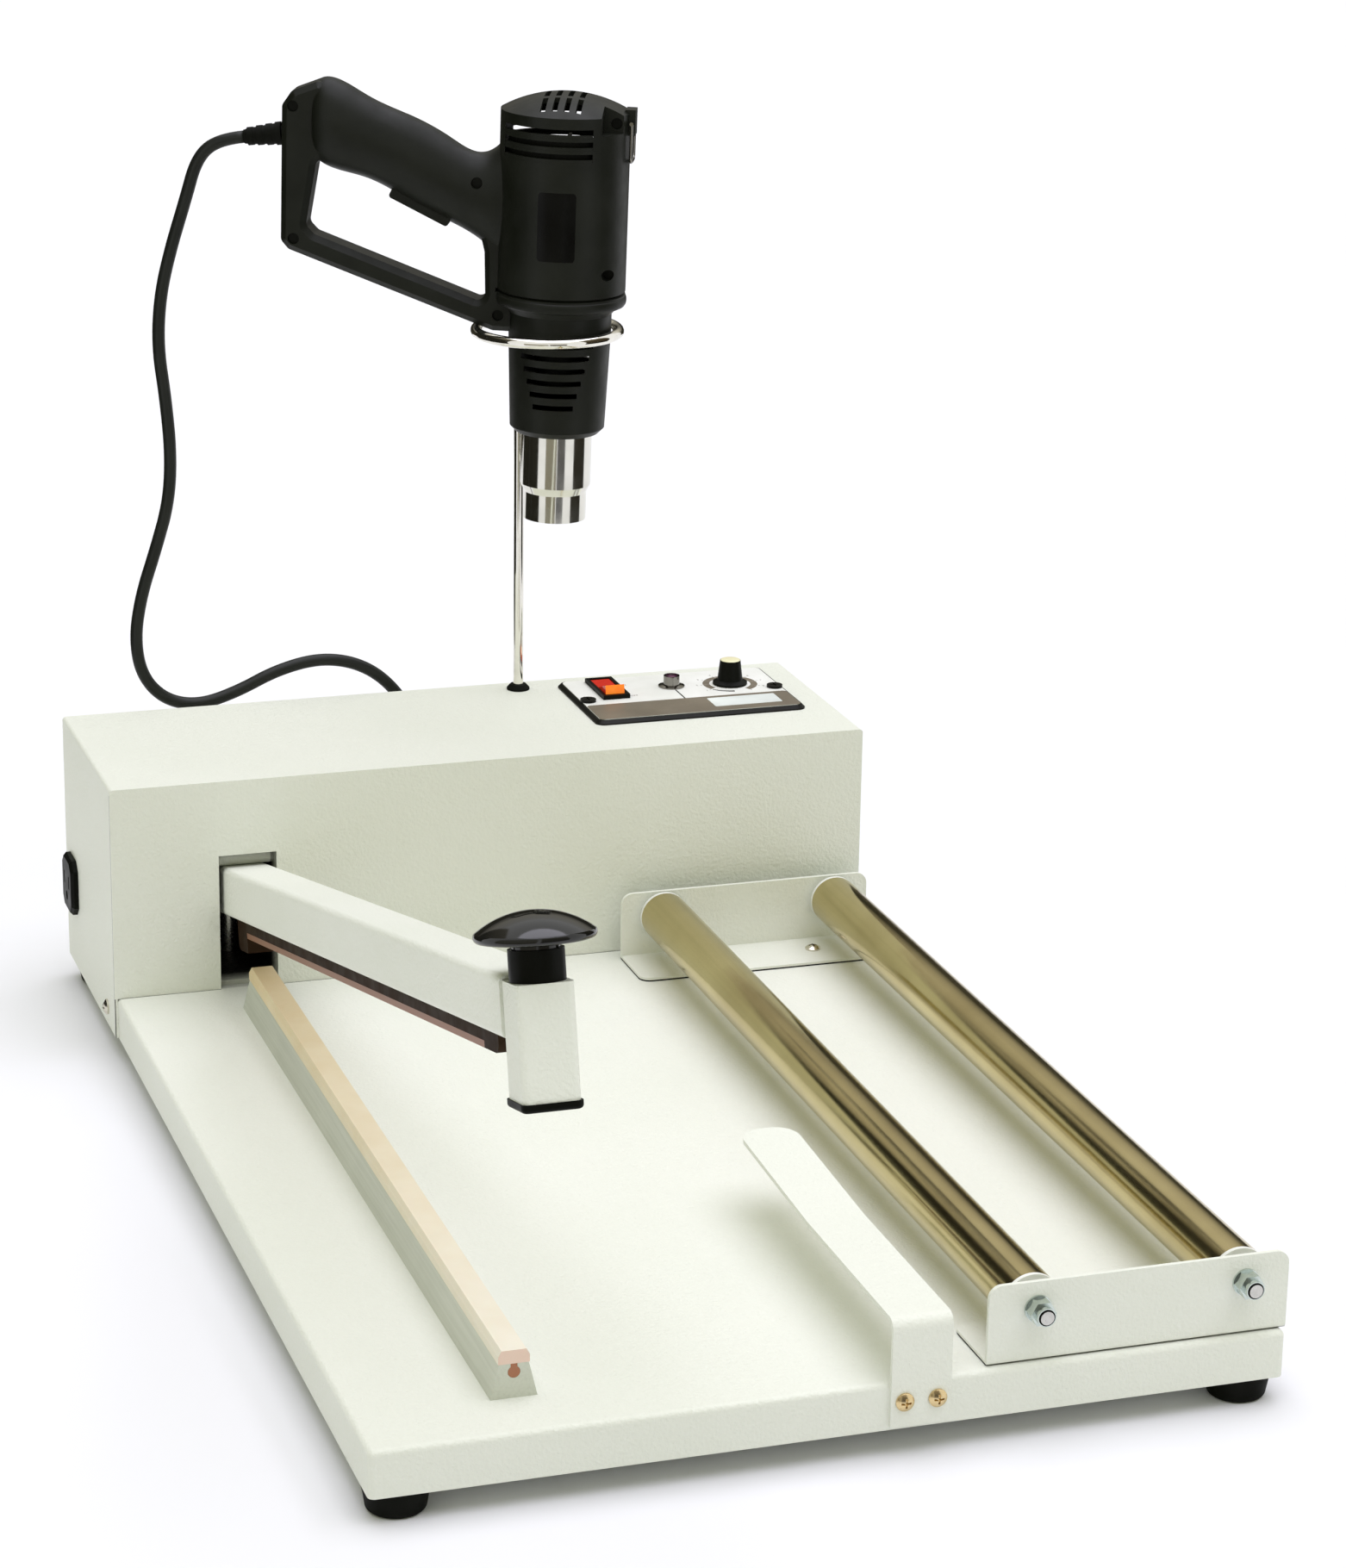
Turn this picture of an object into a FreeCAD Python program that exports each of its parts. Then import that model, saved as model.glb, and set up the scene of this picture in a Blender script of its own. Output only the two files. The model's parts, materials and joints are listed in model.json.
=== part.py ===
import FreeCAD, Part
import math
import os
import types
import Sketcher

# Bench sealer for shrink film: a folded tray on rubber feet carries a sealing bar under a hinged arm,
# two film rollers, a film guide and a housing with the controls. A heat gun stands in a ring on a rod.
# Millimetres. +X to the right, +Y to the back, +Z up; the feet stand on z = 0 and the origin lies under
# the middle of the whole machine.

DRIVING = {
    # Tray, feet and folded sheet
    "tray_width": 400.0,
    "tray_height": 21.0,
    "tray_lip": 30.0,
    "tray_corner": 3.0,
    "tray_edge": 2.5,
    "sheet": 1.5,
    "bend_radius": 2.0,
    "front_to_origin": 318.0,
    "foot_height": 12.0,
    "foot_radius": 14.5,
    "foot_base_radius": 12.8,
    "foot_inset": 14.8,
    "foot_recess_radius": 5.0,
    "foot_recess_depth": 6.0,
    "foot_edge": 2.5,
    # Screws
    "screw_radius": 2.0,
    "screw_length": 9.0,
    "screw_head_radius": 4.0,
    "screw_head_height": 2.6,
    "screw_rim": 0.9,
    "recess_width": 0.9,
    "recess_depth": 1.4,
    "recess_share": 0.55,
    "drill_clearance": 0.05,
    # Housing
    "housing_depth": 133.0,
    "housing_height": 111.6,
    "slot_width": 30.0,
    "slot_height": 72.0,
    "side_screw_height": 9.5,
    "side_screw_inset": 21.0,
    # Sealing bar and strip
    "seal_line": 68.6,
    "bar_length": 465.0,
    "bar_setback": 31.0,
    "bar_gap": 29.5,
    "bar_base": 20.0,
    "bar_top": 12.5,
    "bar_height": 15.3,
    "bar_screw_inset": 40.0,
    "groove_height": 11.6,
    "groove_radius": 2.7,
    "groove_neck": 3.0,
    "strip_width": 13.4,
    "strip_crown": 10.6,
    "strip_height": 6.0,
    "strip_shoulder": 3.4,
    "strip_clearance": 0.1,
    # Film rollers
    "bracket_from_right": 135.5,
    "bracket_width": 136.5,
    "bracket_height": 36.0,
    "bracket_flange": 38.0,
    "bracket_sheet": 2.0,
    "bracket_corner": 6.0,
    "front_bracket_setback": 3.5,
    "rear_bracket_gap": 11.4,
    "bracket_screw_side": 35.8,
    "bracket_screw_setback": 17.0,
    "axle_radius": 3.0,
    "left_axle_from_right": 113.7,
    "right_axle_from_right": 19.0,
    "axle_height": 24.0,
    "axle_overhang": 10.8,
    "roller_radius": 12.7,
    "roller_wall": 1.5,
    "bush_length": 12.0,
    "bush_flange": 2.0,
    "bush_hub": 3.4,
    "bush_hub_radius": 5.5,
    "running_clearance": 0.05,
    "nut_flats": 10.0,
    "nut_height": 5.8,
    "nut_collar_radius": 4.1,
    "nut_collar_height": 3.4,
    "washer_radius": 6.0,
    "washer_thickness": 1.0,
    "free_gap": 0.3,
    # Film guide
    "guide_from_right": 179.7,
    "guide_width": 26.5,
    "guide_top": 50.0,
    "guide_bottom": 1.8,
    "guide_length": 199.0,
    "guide_flat": 105.0,
    "guide_rise": 4.5,
    "guide_sheet": 2.0,
    "guide_bend": 5.0,
    "guide_tip_radius": 11.0,
    "guide_screw_inset": 6.0,
    "guide_screw_height": 13.0,
    # Outlet on the left side and inlet on the back
    "outlet_width": 27.0,
    "outlet_tall": 30.0,
    "outlet_plate": 4.0,
    "outlet_bevel": 5.0,
    "outlet_from_back": 21.0,
    "outlet_height": 25.4,
    "outlet_body_width": 20.0,
    "outlet_body_tall": 22.0,
    "outlet_body_depth": 22.0,
    "inlet_width": 31.0,
    "inlet_tall": 25.0,
    "inlet_plate": 2.5,
    "inlet_body_width": 27.0,
    "inlet_body_tall": 20.0,
    "inlet_body_depth": 24.0,
    "inlet_mouth_width": 24.0,
    "inlet_mouth_tall": 16.5,
    "inlet_mouth_depth": 16.0,
    "inlet_pin": 4.0,
    "inlet_from_right": 82.0,
    "inlet_height": 40.0,
    # Control panel
    "panel_from_right": 132.6,
    "panel_width": 118.0,
    "panel_depth": 78.2,
    "panel_setback": 42.1,
    "panel_thickness": 2.4,
    "panel_corner": 5.0,
    "panel_bevel": 1.6,
    "label_thickness": 0.3,
    "label_margin": 2.4,
    "window_margin": 9.0,
    "window_back": 5.0,
    "panel_screw_inset": 5.9,
    "panel_screw_back": 36.8,
    "panel_screw_radius": 4.3,
    "panel_screw_height": 1.4,
    "panel_screw_tail": 5.0,
    "panel_recess_depth": 0.9,
    "switch_left": 22.1,
    "switch_back": 54.2,
    "bezel_width": 15.0,
    "bezel_length": 35.0,
    "bezel_height": 2.4,
    "bezel_body_width": 13.0,
    "bezel_body_length": 33.4,
    "bezel_body_depth": 22.0,
    "rocker_width": 10.6,
    "rocker_length": 28.4,
    "rocker_tilt": 10.0,
    "rocker_thickness": 3.5,
    "rocker_hollow": 1.5,
    "rocker_pin_radius": 1.2,
    "rocker_pin_end": 0.4,
    "rocker_pivot_depth": 2.0,
    "lamp_left": 58.1,
    "lamp_back": 52.6,
    "lamp_flange_radius": 7.2,
    "lamp_flange_height": 1.2,
    "lamp_cap_radius": 4.4,
    "lamp_cap_height": 6.2,
    "lamp_recess": 1.2,
    "lamp_bevel": 0.8,
    "lamp_body_radius": 5.0,
    "lamp_body_depth": 22.0,
    "knob_left": 90.5,
    "knob_back": 49.0,
    "knob_skirt_radius": 9.4,
    "knob_skirt_height": 2.6,
    "knob_base_radius": 6.9,
    "knob_top_radius": 5.6,
    "knob_height": 13.5,
    "knob_bore_depth": 9.0,
    "pot_shaft_radius": 3.0,
    "pot_bush_radius": 3.6,
    "pot_radius": 12.0,
    "pot_depth": 13.0,
    # Stand for the gun
    "rod_radius": 2.75,
    "rod_from_right": 154.0,
    "ring_from_right": 151.0,
    "ring_setback": 78.3,
    "ring_radius": 37.25,
    "ring_height": 339.3,
    "rod_weld": 0.6,
    "grommet_radius": 6.2,
    "grommet_height": 3.0,
    "grommet_neck": 1.6,
    "socket_radius": 6.0,
    "socket_flange_radius": 10.5,
    "socket_flange": 3.0,
    "socket_height": 24.0,
    # Arm and its pivot
    "pivot_setback": 34.6,
    "pivot_height": 44.0,
    "pivot_radius": 5.0,
    "pivot_hub_radius": 9.0,
    "raise_angle": 13.75,
    "arm_size": 25.0,
    "arm_wall": 1.5,
    "arm_corner": 3.0,
    "arm_over": 50.5,
    "arm_tail": 30.0,
    "post_size": 23.6,
    "post_length": 46.2,
    "post_below": 23.6,
    "post_wall": 1.6,
    "cap_height": 3.5,
    "cap_overlap": 0.8,
    "cap_plug": 8.0,
    "sleeve_radius": 11.2,
    "sleeve_height": 12.7,
    "knob_neck_radius": 9.6,
    "knob_neck_height": 3.0,
    "handle_radius": 23.8,
    "handle_rim": 3.7,
    "handle_dome": 8.2,
    "stud_radius": 4.0,
    "jaw_rear": 57.0,
    "jaw_short": 5.0,
    "jaw_width": 13.0,
    "jaw_rail": 7.0,
    "element_width": 3.0,
    "element_thickness": 0.4,
    "tape_side": 0.3,
    "block_length": 22.0,
    "rear_block_drop": 17.5,
    "block_round": 4.5,
    "stop_radius": 4.0,
    "stop_setback": 12.0,
    "cheek_thickness": 2.5,
    "cheek_front": 4.0,
    "cheek_depth": 58.0,
    "cheek_height": 74.0,
    "spring_radius": 5.0,
    "spring_back": 22.0,
    "spring_wall": 1.2,
    # Inside the housing
    "core_width": 66.0,
    "core_depth": 54.0,
    "core_height": 56.0,
    "core_left": 128.0,
    "core_limb": 16.0,
    "core_window": 10.0,
    "coil_proud": 9.0,
    "board_width": 84.0,
    "board_height": 50.0,
    "board_thickness": 1.6,
    "board_from_right": 115.0,
    "board_standoff": 8.0,
    "board_stud_radius": 3.0,
    "microswitch_width": 10.0,
    "microswitch_depth": 28.0,
    "microswitch_height": 16.0,
    # Heat gun, in its own frame: axis up, handle towards -X, zero at the level of the ring
    "gun_from_right": 145.0,
    "gun_setback": 75.7,
    "gun_seat": -0.69,
    "gun_yaw": 23.0,
    "gun_lean": 1.3,
    "barrel_radius": 33.5,
    "barrel_wall": 2.5,
    "barrel_low": 16.0,
    "barrel_shoulder": 113.0,
    "barrel_top": 122.0,
    "grip_thickness": 20.0,
    "grip_wall": 3.0,
    "grip_chamfer": 3.0,
    "grip_corner": 4.0,
    "grip_half": 15.5,
    "boss_radius": 3.9,
    "boss_sunk": 2.0,
    "seam_level": 19.5,
    "seam_depth": 1.5,
    "seam_half": 1.3,
    "pocket_left": 21.0,
    "pocket_half": 12.5,
    "pocket_low": 104.0,
    "collar_foot": 8.3,
    "collar_top_radius": 26.8,
    "collar_low_radius": 24.8,
    "collar_low": -52.2,
    "collar_wall": 2.0,
    "collar_slot_height": 2.8,
    "collar_slot_pitch": 6.5,
    "collar_slot_first": -39.6,
    "collar_slot_short": 21.0,
    "collar_slot_step": 3.6,
    "nozzle_radius": 18.5,
    "nozzle_mouth_radius": 16.5,
    "nozzle_wall": 0.8,
    "nozzle_root": -30.0,
    "nozzle_shoulder": -83.2,
    "nozzle_neck": -87.4,
    "nozzle_low": -101.8,
    "vent_left": -29.0,
    "vent_right": 17.3,
    "vent_high": 107.5,
    "vent_slot": 4.6,
    "vent_pitch": 6.2,
    "dome_slot": 2.7,
    "dome_pitch": 6.05,
    "dome_near": 9.6,
    "dome_rib": 3.1,
    "dome_far": 27.6,
    "motor_radius": 17.0,
    "motor_low": 42.0,
    "motor_high": 78.0,
    "motor_plate": 3.0,
    "motor_air_radius": 4.0,
    "motor_air_circle": 24.0,
    "fan_radius": 26.0,
    "fan_low": 85.0,
    "fan_height": 12.0,
    "fan_blade": 1.5,
    "fan_hub_radius": 6.0,
    "spindle_radius": 2.0,
    "heater_radius": 12.0,
    "heater_low": -78.0,
    "heater_disc": 3.0,
    "heater_air_radius": 3.5,
    "heater_air_circle": 18.0,
    "trigger_setback": 33.0,
    "trigger_travel": 2.0,
    "trigger_length": 34.0,
    "trigger_proud": 2.4,
    "trigger_depth": 9.0,
    "trigger_width": 13.0,
    "trigger_gap": 0.4,
    "gun_screw_radius": 2.9,
    "gun_screw_sunk": 1.5,
    "gun_screw_short": 4.0,
    "hook_wire": 1.0,
    "hook_drop": 20.0,
    "hook_half": 8.0,
    "hook_leg": 0.9,
    "hook_bend": 3.0,
    "hook_out": 34.75,
    "hook_level": 108.5,
    "lug_half": 5.5,
    "lug_half_height": 6.6,
    "relief_length": 21.0,
    "relief_base_radius": 6.0,
    "relief_tip_radius": 4.3,
    "relief_level": 93.5,
    "relief_slope": 8.4,
    "relief_rib": 0.7,
    "relief_stub": 7.0,
    "relief_stand": 1.0,
    # Cord of the gun
    "cord_radius": 3.3,
    "coil_inner_radius": 32.0,
    "coil_turns": 2.0,
    "coil_lead": 42.0,
    "tie_width": 5.0,
    "tie_thickness": 0.8,
    "tie_gap": 0.45,
    "tie_head": 6.4,
    "tie_head_height": 3.6,
    "coil_from_right": 187.0,
    "coil_setback": 85.5,
    "coil_gap": 0.6,
    "plug_length": 38.0,
    "plug_width": 26.0,
    "plug_neck_radius": 6.0,
    "plug_neck": 12.0,
    "plug_round": 4.0,
    "blade_length": 17.0,
    "blade_width": 6.4,
    "blade_thickness": 1.5,
    "blade_spacing": 12.7,
}

doc = FreeCAD.newDocument("film_sealer")
sheet = doc.addObject("Spreadsheet::Sheet", "dims")
for row, (word, value) in enumerate(DRIVING.items(), start=1):
    sheet.set(f"A{row}", word)
    sheet.set(f"B{row}", str(value))
    sheet.setAlias(f"B{row}", word)
doc.recompute()


# Sizes that carry their sheet formula

def formula(value):
    """The sheet formula of a size, or a plain number as text."""
    return value.formula if isinstance(value, Size) else repr(float(value))


def joined(first, sign, second, value):
    return Size(value, f"({formula(first)} {sign} {formula(second)})")


class Size(float):
    """A number that also carries the sheet formula it is worked out with."""

    def __new__(cls, value, text):
        size = super().__new__(cls, value)
        size.formula = text
        return size

    def __add__(self, other):
        return joined(self, "+", other, float(self) + float(other))

    def __radd__(self, other):
        return joined(other, "+", self, float(other) + float(self))

    def __sub__(self, other):
        return joined(self, "-", other, float(self) - float(other))

    def __rsub__(self, other):
        return joined(other, "-", self, float(other) - float(self))

    def __mul__(self, other):
        return joined(self, "*", other, float(self) * float(other))

    def __rmul__(self, other):
        return joined(other, "*", self, float(other) * float(self))

    def __truediv__(self, other):
        return joined(self, "/", other, float(self) / float(other))

    def __neg__(self):
        return joined(0, "-", self, -float(self))


def sine(angle):
    return Size(math.sin(math.radians(angle)), f"sin({formula(angle)})")


def cosine(angle):
    return Size(math.cos(math.radians(angle)), f"cos({formula(angle)})")


def root(value):
    return Size(math.sqrt(value), f"sqrt({formula(value)})")


D = types.SimpleNamespace(**{word: Size(value, f"dims.{word}") for word, value in DRIVING.items()})


# Primitives, booleans and bodies bound to the sheet

ALONG = {
    "x": FreeCAD.Rotation(FreeCAD.Vector(0, 1, 0), 90),
    "y": FreeCAD.Rotation(FreeCAD.Vector(1, 0, 0), -90),
    "z": FreeCAD.Rotation(),
}
TOWARDS = {
    "up": FreeCAD.Rotation(),
    "down": FreeCAD.Rotation(FreeCAD.Vector(1, 0, 0), 180),
    "left": FreeCAD.Rotation(FreeCAD.Vector(0, 1, 0), -90),
    "right": FreeCAD.Rotation(FreeCAD.Vector(0, 1, 0), 90),
    "front": FreeCAD.Rotation(FreeCAD.Vector(1, 0, 0), 90),
    "back": FreeCAD.Rotation(FreeCAD.Vector(1, 0, 0), -90),
}
nodes = {}


def node(label, solid):
    """Marks a finished sub-part; its label names its file."""
    solid.Label = label
    nodes[label] = solid
    return solid


def bind(item, name, value):
    item.setExpression(name, formula(value))


def place(item, x, y, z, rotation=None):
    """Moves an object to a point worked out from the sheet."""
    if rotation is not None:
        item.Placement = FreeCAD.Placement(FreeCAD.Vector(), rotation)
    for axis, value in zip("xyz", (x, y, z)):
        bind(item, f"Placement.Base.{axis}", value)
    return item


def box(name, x, y, z):
    """A block between two x, two y and two z values."""
    solid = doc.addObject("Part::Box", name)
    for side, (low, high) in zip(("Length", "Width", "Height"), (x, y, z)):
        bind(solid, side, high - low)
    return place(solid, x[0], y[0], z[0])


def rod(name, axis, radius, across, low, high):
    """A cylinder along an axis; across holds its two other coordinates."""
    solid = doc.addObject("Part::Cylinder", name)
    bind(solid, "Radius", radius)
    bind(solid, "Height", high - low)
    first, second = across
    spot = {"x": (low, first, second), "y": (first, low, second), "z": (first, second, low)}[axis]
    return place(solid, *spot, ALONG[axis])


def fuse(name, parts):
    solid = doc.addObject("Part::MultiFuse", name)
    solid.Shapes = parts
    return solid


def cut(name, base, tools):
    solid = doc.addObject("Part::Cut", name)
    solid.Base = base
    solid.Tool = tools[0] if len(tools) == 1 else fuse(name + "_tools", tools)
    return solid


def common(name, base, tool):
    solid = doc.addObject("Part::Common", name)
    solid.Base = base
    solid.Tool = tool
    return solid


def group(name, parts):
    solid = doc.addObject("Part::Compound", name)
    solid.Links = parts
    return solid


def shaped(name, shape):
    """A sub-part whose shape is worked out here from the sheet's values."""
    solid = doc.addObject("Part::Feature", name)
    solid.Shape = shape
    return solid


def copies(name, master, placements):
    """Separate copies of one finished solid, as one group."""
    doc.recompute()
    base = master.Shape
    solids = [base.transformed(spot.toMatrix()) for spot in placements]
    return shaped(name, Part.makeCompound(solids))


def arc_between(first, second, radius):
    """The arc from one point to the next; a positive radius turns anticlockwise."""
    chord = second - first
    middle = (first + second) * 0.5
    rise = math.sqrt(max(radius * radius - chord.Length * chord.Length / 4, 0.0))
    inward = FreeCAD.Vector(-chord.y, chord.x, 0).normalize() * math.copysign(rise, radius)
    centre = middle + inward
    ends = (first, second) if radius > 0 else (second, first)
    turns = [math.atan2(end.y - centre.y, end.x - centre.x) for end in ends]
    circle = Part.Circle(centre, FreeCAD.Vector(0, 0, 1), abs(radius))
    return Part.ArcOfCircle(circle, turns[0], turns[1])


def outline(item, corners):
    """A closed outline whose corners are held at their distances from the sketch's origin.

    A corner is (across, up); with a third value the side that leaves it is an arc of that radius.
    """
    first = item.GeometryCount
    count = len(corners)
    starts = []
    for index, corner in enumerate(corners):
        ahead = corners[(index + 1) % count]
        here = FreeCAD.Vector(corner[0], corner[1], 0)
        there = FreeCAD.Vector(ahead[0], ahead[1], 0)
        if len(corner) == 3:
            item.addGeometry(arc_between(here, there, float(corner[2])), False)
            starts.append(1 if corner[2] > 0 else 2)
        else:
            item.addGeometry(Part.LineSegment(here, there), False)
            starts.append(1)
    for index in range(count):
        after = (index + 1) % count
        ending = 3 - starts[index]
        item.addConstraint(
            Sketcher.Constraint("Coincident", first + index, ending, first + after, starts[after])
        )
    for index, corner in enumerate(corners):
        for kind, value in (("DistanceX", corner[0]), ("DistanceY", corner[1])):
            hold = Sketcher.Constraint(kind, -1, 1, first + index, starts[index], float(value))
            bind(item, f"Constraints[{item.addConstraint(hold)}]", value)
        if len(corner) == 3:
            size = corner[2] if corner[2] > 0 else 0 - corner[2]
            hold = Sketcher.Constraint("Radius", first + index, float(size))
            bind(item, f"Constraints[{item.addConstraint(hold)}]", size)


def ring(item, across, up, radius):
    """A circle held at its centre and radius."""
    spot = FreeCAD.Vector(across, up, 0)
    index = item.addGeometry(Part.Circle(spot, FreeCAD.Vector(0, 0, 1), float(radius)), False)
    for kind, value in (("DistanceX", across), ("DistanceY", up)):
        hold = Sketcher.Constraint(kind, -1, 1, index, 3, float(value))
        bind(item, f"Constraints[{item.addConstraint(hold)}]", value)
    hold = Sketcher.Constraint("Radius", index, float(radius))
    bind(item, f"Constraints[{item.addConstraint(hold)}]", radius)


def sketch(body, name, plane, offset):
    """A sketch on one of the body's own origin planes, moved along its normal."""
    item = body.newObject("Sketcher::SketchObject", name)
    support = next(part for part in body.Origin.OriginFeatures if part.Role == plane)
    item.AttachmentSupport = [(support, "")]
    item.MapMode = "FlatFace"
    bind(item, "AttachmentOffset.Base.z", offset)
    return item


def pad(body, name, plane, corners, low, high, holes=()):
    """Pads an outline between two heights along the plane's axis."""
    offset = 0 - high if plane == "XZ_Plane" else low
    item = sketch(body, name + "_sketch", plane, offset)
    outline(item, corners)
    for across, up, radius in holes:
        ring(item, across, up, radius)
    feature = body.newObject("PartDesign::Pad", name + "_pad")
    feature.Profile = item
    bind(feature, "Length", high - low)
    return body


def prism(name, plane, corners, low, high, holes=()):
    """A body padded from one outline."""
    return pad(doc.addObject("PartDesign::Body", name), name, plane, corners, low, high, holes)


def turned(name, corners):
    """A body turned about its own upright axis from a profile of (radius, height) corners."""
    body = doc.addObject("PartDesign::Body", name)
    item = sketch(body, name + "_sketch", "XZ_Plane", 0)
    outline(item, corners)
    feature = body.newObject("PartDesign::Revolution", name + "_turn")
    feature.Profile = item
    feature.ReferenceAxis = (item, ["V_Axis"])
    feature.Angle = 360
    return body


def dressed(body, kind, size, test):
    """Fillets or chamfers the edges of a body that pass a test."""
    doc.recompute()
    tip = body.Tip
    edges = [f"Edge{index}" for index, edge in enumerate(tip.Shape.Edges, start=1) if test(edge)]
    feature = body.newObject("PartDesign::" + kind, f"{body.Name}_{kind.lower()}")
    feature.Base = (tip, edges)
    bind(feature, "Radius" if kind == "Fillet" else "Size", size)
    return body


def runs(edge, axis):
    """True for a straight edge along an axis."""
    return edge.Curve.TypeId == "Part::GeomLine" and abs(getattr(edge.tangentAt(0), axis)) > 0.99


def near(edge, **where):
    """True where the edge's middle has the given coordinates."""
    middle = edge.CenterOfMass
    return all(abs(getattr(middle, axis) - value) < 0.02 for axis, value in where.items())


def rectangle(low_across, high_across, low_up, high_up):
    return [(low_across, low_up), (high_across, low_up), (high_across, high_up), (low_across, high_up)]


# Where things are

left = -D.tray_width / 2
right = D.tray_width / 2
front = -D.front_to_origin
bar_front = front + D.bar_setback
bar_back = bar_front + D.bar_length
face = bar_back + D.bar_gap
back = face + D.housing_depth
floor = D.foot_height
deck = floor + D.tray_height
roof = deck + D.housing_height
seal_x = left + D.seal_line
pivot_y = face + D.pivot_setback
pivot_z = deck + D.pivot_height
arm_reach = pivot_y - bar_front + D.arm_over
panel_low = face + D.panel_setback
panel_x = right - D.panel_from_right
panel_top = roof + D.panel_thickness
label_top = panel_top + D.label_thickness
front_plate = front + D.front_bracket_setback
rear_plate = face - D.rear_bracket_gap
axle_z = deck + D.axle_height
axle_spots = {"left": right - D.left_axle_from_right, "right": right - D.right_axle_from_right}
drill_radius = D.screw_radius + D.drill_clearance
OVERRUN = 1.0


# Machine screws and the holes they pass through

def screw_spots():
    """Where each screw's head seats, and the way its head faces."""
    spots = []
    for x in (left + D.foot_inset, right - D.foot_inset):
        for y in (front + D.foot_inset, back - D.foot_inset):
            spots.append((x, y, D.foot_recess_depth, "down"))
    spots.append((left - D.sheet, face + D.side_screw_inset, floor + D.side_screw_height, "left"))
    spots.append((right + D.sheet, face + D.side_screw_inset, floor + D.side_screw_height, "right"))
    bracket_x = right - D.bracket_from_right
    for x in (bracket_x + D.bracket_screw_side, bracket_x + D.bracket_width - D.bracket_screw_side):
        flange_top = deck + D.bracket_sheet
        spots.append((x, front_plate + D.bracket_sheet + D.bracket_screw_setback, flange_top, "up"))
        spots.append((x, rear_plate - D.bracket_sheet - D.bracket_screw_setback, flange_top, "up"))
    guide_x = right - D.guide_from_right
    for x in (guide_x + D.guide_screw_inset, guide_x + D.guide_width - D.guide_screw_inset):
        spots.append((x, front - D.guide_sheet, floor + D.guide_screw_height, "front"))
    for y in (bar_front + D.bar_screw_inset, (bar_front + bar_back) / 2, bar_back - D.bar_screw_inset):
        spots.append((seal_x, y, deck - D.sheet, "down"))
    return spots


def spot_placements():
    return [
        FreeCAD.Placement(FreeCAD.Vector(x, y, z), TOWARDS[way]) for x, y, z, way in screw_spots()
    ]


def machine_screws():
    dome = D.screw_head_height - D.screw_rim
    crown = (D.screw_head_radius * D.screw_head_radius + dome * dome) / (2 * dome)
    blank = turned("screw_blank", [
        (0, -D.screw_length),
        (D.screw_radius, -D.screw_length),
        (D.screw_radius, 0),
        (D.screw_head_radius, 0),
        (D.screw_head_radius, D.screw_rim, crown),
        (0, D.screw_head_height),
    ])
    reach = D.screw_head_radius * D.recess_share
    half = D.recess_width / 2
    depth = (D.screw_head_height - D.recess_depth, D.screw_head_height + OVERRUN)
    slots = [
        box("screw_slot_a", (-reach, reach), (-half, half), depth),
        box("screw_slot_b", (-half, half), (-reach, reach), depth),
    ]
    master = cut("screw_master", blank, slots)
    return node("machine_screws", copies("machine_screws", master, spot_placements()))


def screw_drills():
    """One cylinder through every screw's path, for the pieces that the screws hold."""
    drill = rod("drill_master", "z", drill_radius, (0, 0), -D.screw_length - OVERRUN, OVERRUN)
    return copies("screw_drills", drill, spot_placements())


# Tray, feet and housing

def base_tray(drills):
    blank = prism("tray_blank", "XY_Plane", rectangle(left, right, front, back), floor, deck)
    dressed(blank, "Fillet", D.tray_corner, lambda edge: runs(edge, "z"))
    dressed(blank, "Fillet", D.tray_edge, lambda edge: abs(edge.CenterOfMass.z - deck) < 0.02)
    across = (left + D.sheet, right - D.sheet)
    along = (front + D.sheet, back - D.sheet)
    hollow = box("tray_hollow", across, along, (floor + D.sheet, deck - D.sheet))
    mouth = box(
        "tray_mouth",
        (left + D.tray_lip, right - D.tray_lip),
        (front + D.tray_lip, back - D.tray_lip),
        (floor - OVERRUN, floor + D.sheet + OVERRUN),
    )
    return node("base_tray", cut("base_tray", blank, [hollow, mouth, drills]))


def rubber_feet():
    edge = D.foot_edge
    blank = turned("foot_master", [
        (drill_radius, D.foot_recess_depth),
        (D.foot_recess_radius, D.foot_recess_depth),
        (D.foot_recess_radius, 0),
        (D.foot_base_radius - edge, 0, edge),
        (D.foot_base_radius, edge),
        (D.foot_radius, D.foot_height),
        (drill_radius, D.foot_height),
    ])
    spots = [
        FreeCAD.Placement(FreeCAD.Vector(x, y, 0), FreeCAD.Rotation())
        for x in (left + D.foot_inset, right - D.foot_inset)
        for y in (front + D.foot_inset, back - D.foot_inset)
    ]
    return node("rubber_feet", copies("rubber_feet", blank, spots))


def outlet_body(grow):
    """The part of the outlet that passes through the left side, grown by a clearance."""
    middle_y = back - D.outlet_from_back
    middle_z = deck + D.outlet_height
    return (
        (left - D.sheet, left - D.sheet + D.outlet_body_depth),
        (middle_y - D.outlet_body_width / 2 - grow, middle_y + D.outlet_body_width / 2 + grow),
        (middle_z - D.outlet_body_tall / 2 - grow, middle_z + D.outlet_body_tall / 2 + grow),
    )


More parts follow.
